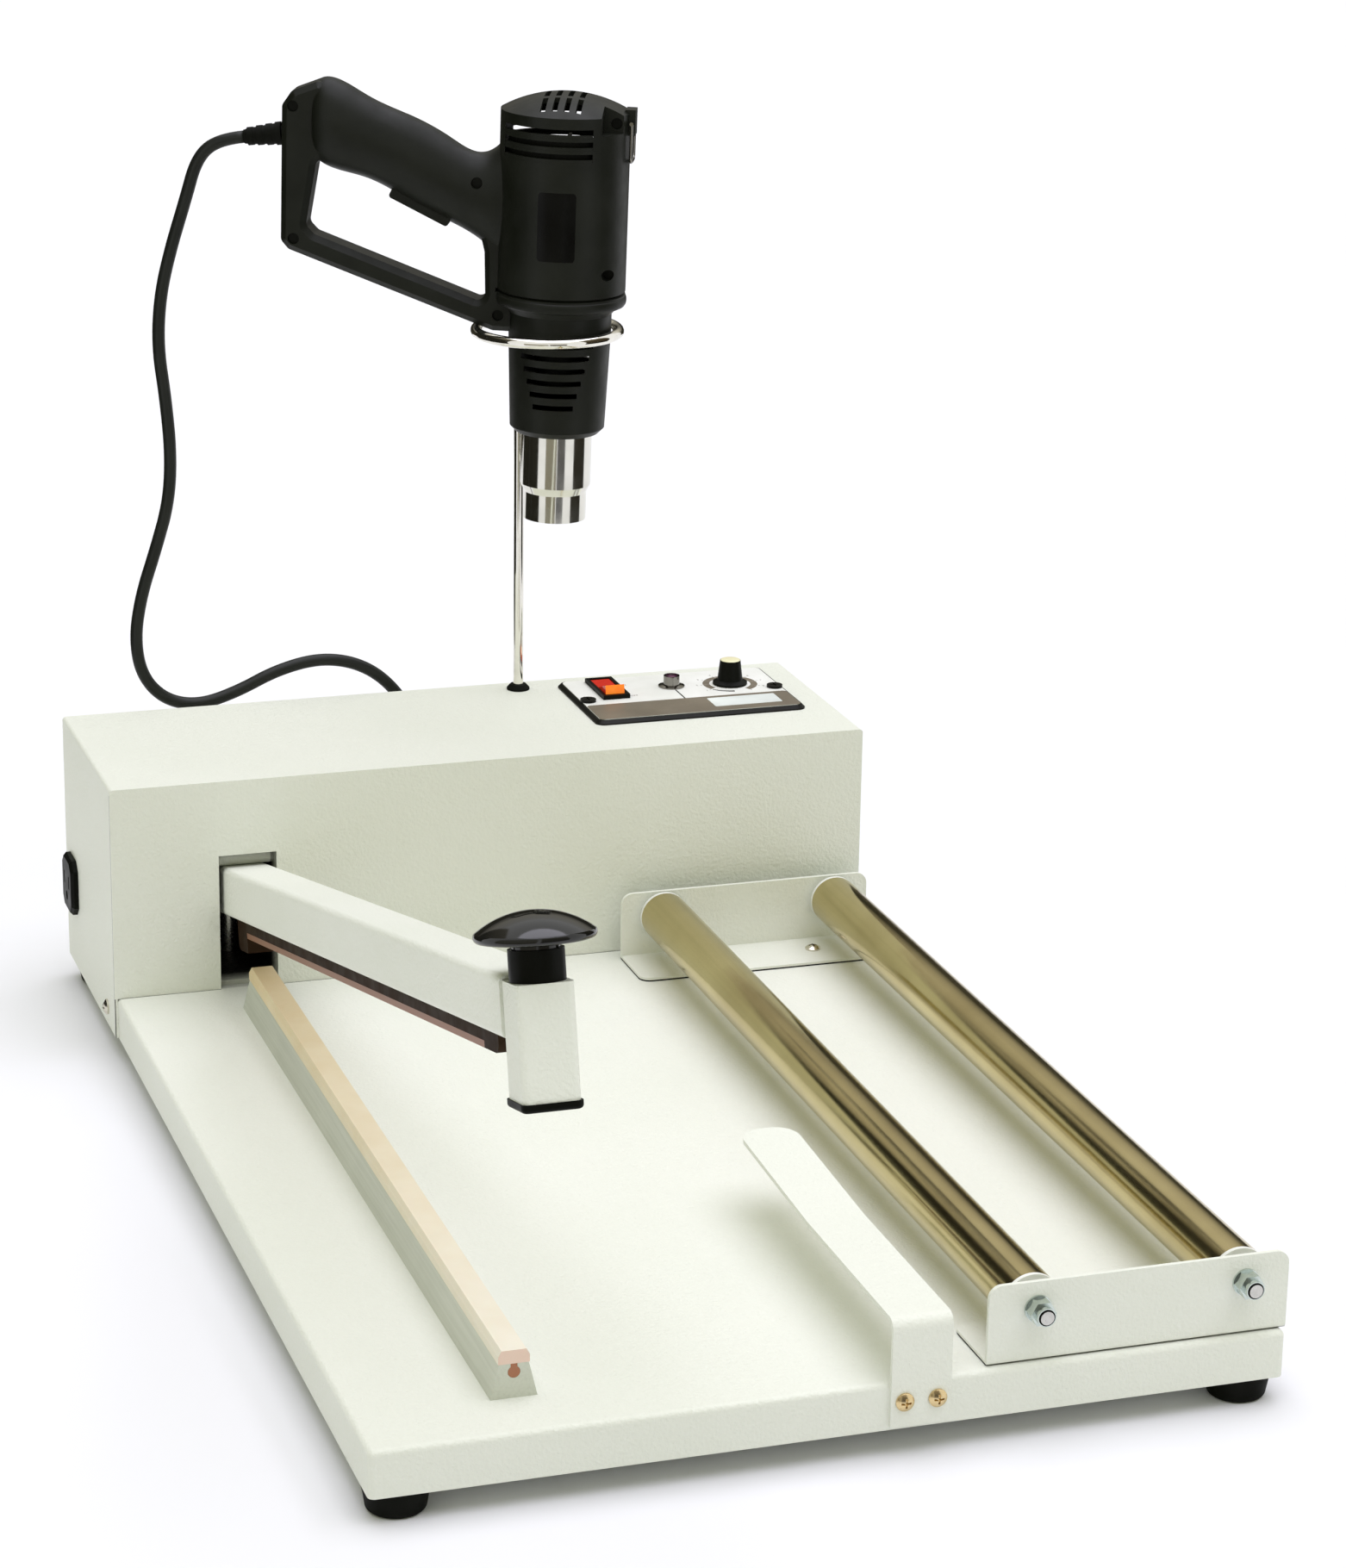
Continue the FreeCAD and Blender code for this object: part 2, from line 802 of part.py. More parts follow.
def housing_cover(drills):
    skin = D.sheet
    body = prism("cover_blank", "XZ_Plane", [
        (left - skin, floor),
        (left, floor),
        (left, roof - skin),
        (right, roof - skin),
        (right, floor),
        (right + skin, floor),
        (right + skin, roof),
        (left - skin, roof),
    ], face, back)
    pad(body, "cover_front", "XZ_Plane", rectangle(left - skin, right + skin, deck, roof), face, face + skin)
    dressed(body, "Fillet", D.bend_radius, lambda edge: runs(edge, "y") and near(edge, z=roof))
    slot = box(
        "arm_slot",
        (seal_x - D.slot_width / 2, seal_x + D.slot_width / 2),
        (face - OVERRUN, face + skin + OVERRUN),
        (deck - OVERRUN, deck + D.slot_height),
    )
    window = box(
        "panel_window",
        (panel_x + D.window_margin, panel_x + D.panel_width - D.window_margin),
        (panel_low + D.window_margin, panel_low + D.panel_depth - D.window_back),
        (roof - skin - OVERRUN, roof + OVERRUN),
    )
    gland = rod(
        "grommet_hole", "z", D.rod_radius + D.grommet_neck, (rod_x, rod_y),
        roof - skin - OVERRUN, roof + OVERRUN,
    )
    across, along, up = outlet_body(D.drill_clearance)
    outlet = box("outlet_hole", (across[0] - OVERRUN, across[0] + skin + OVERRUN), along, up)
    shanks = [
        rod(f"cover_screw_{index}", "z", drill_radius, spot, roof - skin - OVERRUN, roof + OVERRUN)
        for index, spot in enumerate(panel_screw_spots())
    ]
    return node("housing_cover", cut("housing_cover", body, [slot, window, gland, outlet, drills] + shanks))


def inlet_middle():
    return right - D.inlet_from_right, deck + D.inlet_height


def back_panel():
    plate = box("back_blank", (left, right), (back - D.sheet, back), (deck, roof - D.sheet))
    middle_x, middle_z = inlet_middle()
    half_x = D.inlet_body_width / 2 + D.drill_clearance
    half_z = D.inlet_body_tall / 2 + D.drill_clearance
    hole = box(
        "inlet_hole",
        (middle_x - half_x, middle_x + half_x),
        (back - D.sheet - OVERRUN, back + OVERRUN),
        (middle_z - half_z, middle_z + half_z),
    )
    return node("back_panel", cut("back_panel", plate, [hole]))


def outlet_socket():
    """A bevelled outlet on the left side: two upright slots and a round earth hole."""
    middle_y = back - D.outlet_from_back
    middle_z = deck + D.outlet_height
    half_y = D.outlet_width / 2
    half_z = D.outlet_tall / 2
    bevel = D.outlet_bevel
    outer = left - D.sheet - D.outlet_plate
    plate = prism("outlet_plate", "YZ_Plane", [
        (middle_y - half_y + bevel, middle_z - half_z),
        (middle_y + half_y - bevel, middle_z - half_z),
        (middle_y + half_y, middle_z - half_z + bevel),
        (middle_y + half_y, middle_z + half_z - bevel),
        (middle_y + half_y - bevel, middle_z + half_z),
        (middle_y - half_y + bevel, middle_z + half_z),
        (middle_y - half_y, middle_z + half_z - bevel),
        (middle_y - half_y, middle_z - half_z + bevel),
    ], outer, left - D.sheet)
    dressed(plate, "Chamfer", D.outlet_plate / 2.5, lambda edge: near(edge, x=outer))
    body = box("outlet_body", *outlet_body(0))
    whole = fuse("outlet_whole", [plate, body])
    depth = (outer - OVERRUN, outer + 0.6 * D.outlet_body_depth)
    cuts = []
    for side in (-1, 1):
        slot_y = middle_y + side * D.blade_spacing / 2
        cuts.append(box(
            f"outlet_slot_{side + 1}",
            depth,
            (slot_y - D.blade_thickness * 0.7, slot_y + D.blade_thickness * 0.7),
            (middle_z - D.blade_width * 0.2, middle_z + D.blade_width * 0.9),
        ))
    cuts.append(rod(
        "outlet_earth", "x", D.blade_width * 0.4, (middle_y, middle_z - D.blade_width), depth[0], depth[1]
    ))
    return node("outlet_socket", cut("outlet_socket", whole, cuts))


def mains_inlet():
    """A three-pin appliance inlet in the back panel."""
    middle_x, middle_z = inlet_middle()

    def block(name, width, tall, low, high):
        across = (middle_x - width / 2, middle_x + width / 2)
        return box(name, across, (low, high), (middle_z - tall / 2, middle_z + tall / 2))

    flange = block("inlet_flange", D.inlet_width, D.inlet_tall, back, back + D.inlet_plate)
    inner = back + D.inlet_plate - D.inlet_body_depth
    body = block("inlet_body", D.inlet_body_width, D.inlet_body_tall, inner, back)
    whole = fuse("inlet_whole", [flange, body])
    mouth_low = back + D.inlet_plate - D.inlet_mouth_depth
    mouth = block(
        "inlet_mouth", D.inlet_mouth_width, D.inlet_mouth_tall, mouth_low, back + D.inlet_plate + OVERRUN
    )
    hollow = cut("inlet_hollow", whole, [mouth])
    pins = []
    for side, rise in ((-1, -1), (0, 1), (1, -1)):
        pin_x = middle_x + side * D.inlet_mouth_width / 3.4
        pin_z = middle_z + rise * D.inlet_mouth_tall / 8
        pins.append(box(
            f"inlet_pin_{side + 1}",
            (pin_x - D.inlet_pin / 4, pin_x + D.inlet_pin / 4),
            (mouth_low - OVERRUN, mouth_low + D.inlet_mouth_depth / 2),
            (pin_z - D.inlet_pin / 2, pin_z + D.inlet_pin / 2),
        ))
    return node("mains_inlet", fuse("mains_inlet", [hollow] + pins))


# Sealing bar and its strip

def sealing_bar(drills):
    half_base = D.bar_base / 2
    half_top = D.bar_top / 2
    half_neck = D.groove_neck / 2
    centre = deck + D.groove_height
    lip = centre + root(D.groove_radius * D.groove_radius - half_neck * half_neck)
    top = deck + D.bar_height
    body = prism("bar_blank", "XZ_Plane", [
        (seal_x - half_base, deck),
        (seal_x + half_base, deck),
        (seal_x + half_top, top),
        (seal_x + half_neck, top),
        (seal_x + half_neck, lip, -D.groove_radius),
        (seal_x, centre - D.groove_radius, -D.groove_radius),
        (seal_x - half_neck, lip),
        (seal_x - half_neck, top),
        (seal_x - half_top, top),
    ], bar_front, bar_back)
    return node("sealing_bar", cut("sealing_bar", body, [drills]))


def silicone_strip():
    slack = D.strip_clearance
    half_neck = D.groove_neck / 2 - slack
    bead = D.groove_radius - slack
    centre = deck + D.groove_height
    lip = centre + root(bead * bead - half_neck * half_neck)
    seat = deck + D.bar_height
    half = D.strip_width / 2
    crown = D.strip_crown / 2
    return node("silicone_strip", prism("silicone_strip", "XZ_Plane", [
        (seal_x + half_neck, lip, -bead),
        (seal_x, centre - bead, -bead),
        (seal_x - half_neck, lip),
        (seal_x - half_neck, seat),
        (seal_x - half, seat),
        (seal_x - half, seat + D.strip_shoulder),
        (seal_x - crown, seat + D.strip_height),
        (seal_x + crown, seat + D.strip_height),
        (seal_x + half, seat + D.strip_shoulder),
        (seal_x + half, seat),
        (seal_x + half_neck, seat),
    ], bar_front, bar_back))


# Film rollers and guide

def roller_bracket(label, plate, way, drills):
    """An angle bracket whose upright outer face is at plate; its flange runs off the way given."""
    sheet_y = plate + way * D.bracket_sheet
    tip_y = plate + way * D.bracket_flange
    low_x = right - D.bracket_from_right
    high_x = low_x + D.bracket_width
    top = deck + D.bracket_height
    corners = [
        (plate, deck),
        (tip_y, deck),
        (tip_y, deck + D.bracket_sheet),
        (sheet_y, deck + D.bracket_sheet),
        (sheet_y, top),
        (plate, top),
    ]
    body = prism(label + "_blank", "YZ_Plane", corners if way > 0 else corners[::-1], low_x, high_x)
    dressed(body, "Fillet", D.bracket_corner, lambda edge: (
        (runs(edge, "y") and near(edge, z=top)) or (runs(edge, "z") and near(edge, y=tip_y))
    ))
    dressed(body, "Fillet", D.bracket_sheet, lambda edge: runs(edge, "x") and near(edge, y=plate, z=deck))
    ends = (plate - D.bracket_sheet - OVERRUN, plate + D.bracket_sheet + OVERRUN)
    holes = [
        rod(f"{label}_hole_{side}", "y", D.axle_radius + D.drill_clearance, (x, axle_z), *ends)
        for side, x in axle_spots.items()
    ]
    return node(label, cut(label, body, holes + [drills]))


def roller_axles():
    low = front_plate - D.axle_overhang
    high = rear_plate + D.axle_overhang
    rods = [rod(f"axle_{side}", "y", D.axle_radius, (x, axle_z), low, high) for side, x in axle_spots.items()]
    return node("roller_axles", group("roller_axles", rods))


def axle_nuts():
    """A washer and a lock nut at each end of both axles."""
    bore = D.axle_radius + D.drill_clearance / 2
    hexagon = doc.addObject("Part::Prism", "nut_hexagon")
    hexagon.Polygon = 6
    bind(hexagon, "Circumradius", D.nut_flats / cosine(30) / 2)
    bind(hexagon, "Height", D.nut_height)
    place(hexagon, 0, 0, D.washer_thickness)
    washer = rod("nut_washer", "z", D.washer_radius, (0, 0), 0, D.washer_thickness)
    nut_top = D.washer_thickness + D.nut_height
    collar = rod("nut_collar", "z", D.nut_collar_radius, (0, 0), nut_top, nut_top + D.nut_collar_height)
    stack = fuse("nut_stack", [hexagon, washer, collar])
    hole = rod("nut_bore", "z", bore, (0, 0), -OVERRUN, nut_top + D.nut_collar_height + OVERRUN)
    master = cut("nut_master", stack, [hole])
    spots = []
    for x in axle_spots.values():
        spots.append(FreeCAD.Placement(FreeCAD.Vector(x, front_plate, axle_z), TOWARDS["front"]))
        spots.append(FreeCAD.Placement(FreeCAD.Vector(x, rear_plate, axle_z), TOWARDS["back"]))
    return node("axle_nuts", copies("axle_nuts", master, spots))


def roller(side):
    """A tube that turns on its axle with a flanged bush in each end."""
    x = axle_spots[side]
    room = D.bracket_sheet + D.free_gap + D.bush_hub + D.bush_flange
    low = front_plate + room
    high = rear_plate - room
    inner = D.roller_radius - D.roller_wall
    tube = cut(f"roller_{side}", rod(f"roller_{side}_blank", "y", D.roller_radius, (x, axle_z), low, high), [
        rod(f"roller_{side}_inside", "y", inner, (x, axle_z), low - OVERRUN, high + OVERRUN)
    ])
    bushes = []
    for end, way in ((low, 1), (high, -1)):
        outer = end - way * D.bush_flange
        parts = []
        for name, radius, span in (
            ("plug", inner, (end, end + way * D.bush_length)),
            ("flange", D.roller_radius, (outer, end)),
            ("hub", D.bush_hub_radius, (outer - way * D.bush_hub, outer)),
        ):
            first, second = span if way > 0 else span[::-1]
            parts.append(rod(f"bush_{side}_{name}_{way + 1}", "y", radius, (x, axle_z), first, second))
        bore = D.axle_radius + D.running_clearance
        reach = (end - D.bush_length - OVERRUN, end + D.bush_length + OVERRUN)
        hole = rod(f"bush_{side}_bore_{way + 1}", "y", bore, (x, axle_z), *reach)
        bushes.append(cut(f"bush_{side}_{way + 1}", fuse(f"bush_{side}_whole_{way + 1}", parts), [hole]))
    node(f"roller_{side}", tube)
    return node(f"roller_bushes_{side}", group(f"roller_bushes_{side}", bushes))


def film_guide(drills):
    """A bent strip: a tab on the tray's front skirt, then a tongue that rises a little to its round end."""
    low_x = right - D.guide_from_right
    outer = front - D.guide_sheet
    top = floor + D.guide_top
    under = top - D.guide_sheet
    knee = outer + D.guide_flat
    tip = outer + D.guide_length
    body = prism("guide_blank", "YZ_Plane", [
        (outer, floor + D.guide_bottom),
        (front, floor + D.guide_bottom),
        (front, under),
        (knee, under),
        (tip, under + D.guide_rise),
        (tip, top + D.guide_rise),
        (knee, top),
        (outer, top),
    ], low_x, low_x + D.guide_width)
    dressed(body, "Fillet", D.guide_bend, lambda edge: runs(edge, "x") and near(edge, y=outer, z=top))
    dressed(body, "Fillet", D.guide_bend - D.guide_sheet, lambda edge: (
        runs(edge, "x") and near(edge, y=front, z=under)
    ))
    dressed(body, "Fillet", D.guide_tip_radius, lambda edge: runs(edge, "z") and near(edge, y=tip))
    return node("film_guide", cut("film_guide", body, [drills]))


# Control panel

def panel_spot(across, from_front):
    return panel_x + across, panel_low + from_front


def panel_bores(name, low, high):
    """The holes of the panel's devices, between two heights."""
    slack = D.drill_clearance
    switch_x, switch_y = panel_spot(D.switch_left, D.switch_back)
    lamp = panel_spot(D.lamp_left, D.lamp_back)
    knob = panel_spot(D.knob_left, D.knob_back)
    half_x = D.bezel_body_width / 2 + slack
    half_y = D.bezel_body_length / 2 + slack
    tools = [
        box(
            name + "_switch",
            (switch_x - half_x, switch_x + half_x),
            (switch_y - half_y, switch_y + half_y),
            (low, high),
        ),
        rod(name + "_lamp", "z", D.lamp_body_radius + slack, lamp, low, high),
        rod(name + "_pot", "z", D.pot_bush_radius + slack, knob, low, high),
    ]
    for index, spot in enumerate(panel_screw_spots()):
        tools.append(rod(f"{name}_screw_{index}", "z", drill_radius, spot, low, high))
    return tools


def panel_screw_spots():
    return [
        panel_spot(D.panel_screw_inset, D.panel_screw_back),
        panel_spot(D.panel_width - D.panel_screw_inset, D.panel_screw_back),
    ]


def panel_plate():
    body = prism(
        "panel_blank",
        "XY_Plane",
        rectangle(panel_x, panel_x + D.panel_width, panel_low, panel_low + D.panel_depth),
        roof,
        panel_top,
    )
    dressed(body, "Fillet", D.panel_corner, lambda edge: runs(edge, "z"))
    dressed(body, "Chamfer", D.panel_bevel, lambda edge: abs(edge.CenterOfMass.z - panel_top) < 0.02)
    bores = panel_bores("panel_bore", roof - OVERRUN, panel_top + OVERRUN)
    return node("panel_plate", cut("panel_plate", body, bores))


def panel_label():
    """The thin printed face on the panel."""
    rim = D.label_margin
    body = prism("label_blank", "XY_Plane", rectangle(
        panel_x + rim,
        panel_x + D.panel_width - rim,
        panel_low + rim,
        panel_low + D.panel_depth - rim,
    ), panel_top, label_top)
    dressed(body, "Fillet", D.panel_corner - D.panel_bevel, lambda edge: runs(edge, "z"))
    bores = panel_bores("label_bore", panel_top - OVERRUN, label_top + OVERRUN)
    return node("panel_label", cut("panel_label", body, bores))


def panel_screws():
    reach = D.panel_screw_radius * D.recess_share
    half = D.recess_width / 2
    screws = []
    for index, spot in enumerate(panel_screw_spots()):
        top = label_top + D.panel_screw_height
        head = rod(f"panel_head_{index}", "z", D.panel_screw_radius, spot, label_top, top)
        shank = rod(f"panel_shank_{index}", "z", D.screw_radius, spot, roof - D.panel_screw_tail, label_top)
        whole = fuse(f"panel_screw_{index}", [head, shank])
        x, y = spot
        depth = (top - D.panel_recess_depth, top + OVERRUN)
        slots = [
            box(f"panel_slot_{index}_{word}", (x - long, x + long), (y - wide, y + wide), depth)
            for word, long, wide in (("a", reach, half), ("b", half, reach))
        ]
        screws.append(cut(f"panel_screw_cut_{index}", whole, slots))
    return node("panel_screws", group("panel_screws", screws))


def switch_bezel():
    """The switch's frame and its box below the panel, open at the top for the rocker."""
    x, y = panel_spot(D.switch_left, D.switch_back)

    def block(name, width, length, low, high):
        return box(name, (x - width / 2, x + width / 2), (y - length / 2, y + length / 2), (low, high))

    rim = label_top + D.bezel_height
    flange = block("bezel_flange", D.bezel_width, D.bezel_length, label_top, rim)
    depth = label_top - D.bezel_body_depth
    body = block("bezel_body", D.bezel_body_width, D.bezel_body_length, depth, label_top)
    opening_width = D.rocker_width + 2 * D.free_gap
    swing = 2 * D.free_gap + D.rocker_thickness / 2
    opening = block(
        "bezel_opening", opening_width, D.rocker_length + swing, depth + D.panel_thickness, rim + OVERRUN
    )
    pin = D.rocker_pin_radius + D.running_clearance
    reach = D.bezel_body_width / 2 - D.rocker_pin_end + D.free_gap
    hole = rod("bezel_pivot", "x", pin, (y, rim - D.rocker_pivot_depth), x - reach, x + reach)
    return node("switch_bezel", cut("switch_bezel", fuse("bezel_whole", [flange, body]), [opening, hole]))


def switch_rocker():
    """A shallow V of a rocker on two pins, at rest with its back half pressed."""
    x, y = panel_spot(D.switch_left, D.switch_back)
    half = D.rocker_length / 2
    wing = half * sine(D.rocker_tilt) / cosine(D.rocker_tilt)
    body = prism("rocker_blank", "YZ_Plane", [
        (-half, -D.rocker_thickness / 2),
        (0, -D.rocker_thickness),
        (half, -D.rocker_thickness / 2),
        (half, D.rocker_hollow + wing),
        (0, D.rocker_hollow),
        (-half, D.rocker_hollow + wing),
    ], -D.rocker_width / 2, D.rocker_width / 2)
    reach = D.bezel_body_width / 2 - D.rocker_pin_end
    pins = rod("rocker_pins", "x", D.rocker_pin_radius, (0, 0), -reach, reach)
    rocker = fuse("switch_rocker", [body, pins])
    tilt = FreeCAD.Rotation(FreeCAD.Vector(1, 0, 0), -float(D.rocker_tilt))
    place(rocker, x, y, label_top + D.bezel_height - D.rocker_pivot_depth, tilt)
    return node("switch_rocker", rocker)


def indicator_lamp():
    x, y = panel_spot(D.lamp_left, D.lamp_back)
    cap = D.lamp_cap_radius
    bevel = D.lamp_bevel
    glass = D.lamp_cap_height - D.lamp_recess
    body = turned("indicator_lamp", [
        (0, -D.lamp_body_depth),
        (D.lamp_body_radius, -D.lamp_body_depth),
        (D.lamp_body_radius, 0),
        (D.lamp_flange_radius, 0),
        (D.lamp_flange_radius, D.lamp_flange_height / 2),
        (cap + bevel, D.lamp_flange_height),
        (cap, D.lamp_flange_height),
        (cap, D.lamp_cap_height),
        (cap - bevel, D.lamp_cap_height),
        (cap - bevel, glass),
        (0, glass),
    ])
    return node("indicator_lamp", place(body, x, y, label_top))


def timer_pot():
    """The potentiometer under the panel, its bush through the plate and its shaft up into the knob."""
    spot = panel_spot(D.knob_left, D.knob_back)
    can = rod("pot_can", "z", D.pot_radius, spot, roof - D.sheet - D.pot_depth, roof)
    bush = rod("pot_bush", "z", D.pot_bush_radius, spot, roof, label_top)
    tip = label_top + D.knob_bore_depth
    shaft = rod("pot_shaft", "z", D.pot_shaft_radius, spot, label_top, tip)
    return node("timer_pot", fuse("timer_pot", [can, bush, shaft]))


def timer_knob():
    x, y = panel_spot(D.knob_left, D.knob_back)
    bore = D.pot_shaft_radius + D.running_clearance
    ceiling = D.knob_bore_depth + D.free_gap
    body = turned("timer_knob", [
        (bore, D.free_gap),
        (D.knob_skirt_radius, D.free_gap),
        (D.knob_skirt_radius, D.knob_skirt_height / 2),
        (D.knob_base_radius, D.knob_skirt_height),
        (D.knob_top_radius, D.knob_height),
        (0, D.knob_height),
        (0, ceiling),
        (bore, ceiling),
    ])
    return node("timer_knob", place(body, x, y, label_top))


# Stand for the gun

rod_x = right - D.rod_from_right
ring_x = right - D.ring_from_right
ring_y = face + D.ring_setback
ring_z = floor + D.ring_height
rod_reach = D.ring_radius + 2 * D.rod_radius - D.rod_weld
rod_y = ring_y + root(rod_reach * rod_reach - (ring_x - rod_x) * (ring_x - rod_x))


def stand_rod():
    """An upright rod welded behind a level ring of the same wire."""
    top = ring_z + D.rod_radius
    upright = rod("rod_upright", "z", D.rod_radius, (rod_x, rod_y), deck + D.socket_flange, top)
    hoop = doc.addObject("Part::Torus", "rod_hoop")
    bind(hoop, "Radius1", D.ring_radius)
    bind(hoop, "Radius2", D.rod_radius)
    place(hoop, ring_x, ring_y, ring_z)
    return node("stand_rod", fuse("stand_rod", [upright, hoop]))


def rod_grommet():
    neck = D.rod_radius + D.grommet_neck
    edge = D.grommet_height / 3
    body = turned("rod_grommet", [
        (D.rod_radius, -D.sheet),
        (neck, -D.sheet),
        (neck, 0),
        (D.grommet_radius, 0),
        (D.grommet_radius, edge),
        (neck, D.grommet_height),
        (D.rod_radius, D.grommet_height),
    ])
    return node("rod_grommet", place(body, rod_x, rod_y, roof))


def rod_socket():
    """The flanged tube on the tray that holds the foot of the rod."""
    body = turned("rod_socket", [
        (0, 0),
        (D.socket_flange_radius, 0),
        (D.socket_flange_radius, D.socket_flange),
        (D.socket_radius, D.socket_flange),
        (D.socket_radius, D.socket_height),
        (D.rod_radius, D.socket_height),
        (D.rod_radius, D.socket_flange),
        (0, D.socket_flange),
    ])
    return node("rod_socket", place(body, rod_x, rod_y, deck))


# Arm: built level about its pivot, then raised

def raised(solid):
    """Lifts an arm piece from the level, about the pivot's axis."""
    return place(solid, seal_x, pivot_y, pivot_z, ARM_LIFT)


def arm_tube():
    half = D.arm_size / 2
    inner = half - D.arm_wall
    ends = (-arm_reach, D.arm_tail)
    blank = prism("arm_blank", "XZ_Plane", rectangle(-half, half, -half, half), *ends)
    dressed(blank, "Fillet", D.arm_corner, lambda edge: runs(edge, "y"))
    hollow = box("arm_hollow", (-inner, inner), (ends[0] - OVERRUN, ends[1] + OVERRUN), (-inner, inner))
    tube = cut("arm_walls", blank, [hollow])
    reach = D.slot_width / 2 - D.free_gap
    hub = rod("arm_hub", "x", D.pivot_hub_radius, (0, 0), -reach, reach)
    whole = fuse("arm_whole", [tube, hub])
    bore_radius = D.pivot_radius + D.running_clearance
    bore = rod("arm_bore", "x", bore_radius, (0, 0), -reach - OVERRUN, reach + OVERRUN)
    depth = D.post_size / 2
    notch = prism(
        "arm_notch", "XY_Plane", rectangle(-D.arm_size, D.arm_size, -depth, depth),
        -D.arm_size, 2 * D.arm_size,
    )
    notch.Placement = post_frame(0)
    return node("arm_tube", raised(cut("arm_tube", whole, [bore, notch])))


ARM_LIFT = FreeCAD.Rotation(FreeCAD.Vector(1, 0, 0), -float(D.raise_angle))
ARM_FRAME = FreeCAD.Placement(FreeCAD.Vector(seal_x, pivot_y, pivot_z), ARM_LIFT)


def post_frame(height):
    """The place of a piece on the post's axis of the level arm, a height above the post's middle."""
    foot = FreeCAD.Vector(0, -arm_reach, -D.post_below / 2)
    return FreeCAD.Placement(foot + FreeCAD.Vector(0, 0, height), FreeCAD.Rotation())


def on_post(label, body, height=0):
    """Seats a piece on the post's axis and raises it with the arm."""
    body.Placement = ARM_FRAME.multiply(post_frame(height))
    return node(label, body)


def post_block(name):
    """The square upright at the arm's end, about its own middle."""
    half = D.post_size / 2
    body = prism(
        name, "XY_Plane", rectangle(-half, half, -half, half), -D.post_below, D.post_length - D.post_below
    )
    return dressed(body, "Fillet", D.arm_corner, lambda edge: runs(edge, "z"))


def arm_post():
    inner = D.post_size / 2 - D.post_wall
    low = -D.post_below
    high = post_top()
    ceiling = high - D.post_wall
    hollow = box("post_hollow", (-inner, inner), (-inner, inner), (low - OVERRUN, ceiling))
    bore = D.stud_radius + D.drill_clearance
    hole = rod("post_hole", "z", bore, (0, 0), ceiling - OVERRUN, high + OVERRUN)
    return on_post("arm_post", cut("arm_post", post_block("post_blank"), [hollow, hole]))


def post_end_cap():
    half = D.post_size / 2 + D.cap_overlap
    plug = D.post_size / 2 - D.post_wall - D.drill_clearance
    low = -D.post_below
    body = prism("cap_lid", "XY_Plane", rectangle(-half, half, -half, half), low - D.cap_height, low)
    dressed(body, "Fillet", D.arm_corner, lambda edge: runs(edge, "z"))
    dressed(body, "Fillet", D.cap_height / 2, lambda edge: near(edge, z=low - D.cap_height))
    stem = box("cap_plug", (-plug, plug), (-plug, plug), (low, low + D.cap_plug))
    return on_post("post_end_cap", fuse("post_end_cap", [body, stem]))


def post_top():
    return D.post_length - D.post_below


def knob_sleeve():
    bore = D.stud_radius + D.drill_clearance
    top = D.sleeve_height
    body = turned("knob_sleeve", [
        (bore, 0),
        (D.sleeve_radius, 0),
        (D.sleeve_radius, top),
        (bore, top),
    ])
    return on_post("knob_sleeve", body, post_top())


def handle_knob():
    """A mushroom knob with a stud down through the sleeve into the post."""
    neck = D.knob_neck_height
    rim = neck + D.handle_rim
    dome = D.handle_dome
    crown = (D.handle_radius * D.handle_radius + dome * dome) / (2 * dome)
    tail = -D.sleeve_height - D.cap_plug
    body = turned("handle_knob", [
        (0, tail),
        (D.stud_radius, tail),
        (D.stud_radius, 0),
        (D.knob_neck_radius, 0),
        (D.knob_neck_radius, neck),
        (D.handle_radius - D.handle_rim / 2, neck, D.handle_rim / 1.6),
        (D.handle_radius, rim, crown),
        (0, rim + dome),
    ])
    return on_post("handle_knob", body, post_top() + D.sleeve_height)


def jaw_low():
    """Lower face of the jaw on the level arm, a gap above the strip."""
    return D.bar_height + D.strip_height + D.free_gap - D.pivot_height


def jaw_span():
    return D.jaw_short - D.jaw_rear - D.bar_length, -D.jaw_rear


def jaw_rail():
    half = D.jaw_width / 2
    low = -D.arm_size / 2
    rail = prism("jaw_rail", "XZ_Plane", rectangle(-half, half, low - D.jaw_rail, low), *jaw_span())
    return node("jaw_rail", raised(rail))


def tape_top():
    return -D.arm_size / 2 - D.jaw_rail


def heating_element():
    half = D.element_width / 2
    low = jaw_low() + D.tape_side
    high = low + D.element_thickness
    strip = prism("heating_element", "XZ_Plane", rectangle(-half, half, low, high), *jaw_span())
    return node("heating_element", raised(strip))


def ptfe_tape():
    """The tape that covers the element: a flat pad under the rail, hollow where the element lies."""
    half = D.jaw_width / 2
    half_element = D.element_width / 2
    low = jaw_low()
    element_low = low + D.tape_side
    pad_block = box("tape_blank", (-half, half), jaw_span(), (low, tape_top()))
    along = jaw_span()
    room = box(
        "tape_room",
        (-half_element, half_element),
        (along[0] - OVERRUN, along[1] + OVERRUN),
        (element_low, element_low + D.element_thickness),
    )
    return node("ptfe_tape", raised(cut("ptfe_tape", pad_block, [room])))


def element_blocks():
    """The insulated end blocks that hold the element's ends under the arm."""
    half = D.jaw_width / 2
    top = -D.arm_size / 2
    first, last = jaw_span()
    blocks = []
    for name, span, low, outer in (
        ("front", (first - D.block_length, first), jaw_low(), first - D.block_length),
        ("rear", (last, last + D.block_length), top - D.rear_block_drop, last + D.block_length),
    ):
        body = prism(f"block_{name}", "YZ_Plane", rectangle(*span, low, top), -half, half)
        dressed(body, "Fillet", D.block_round, lambda edge, y=outer, z=low: (
            runs(edge, "x") and near(edge, y=y, z=z)
        ))
        blocks.append(body)
    return node("element_blocks", raised(group("element_blocks", blocks)))


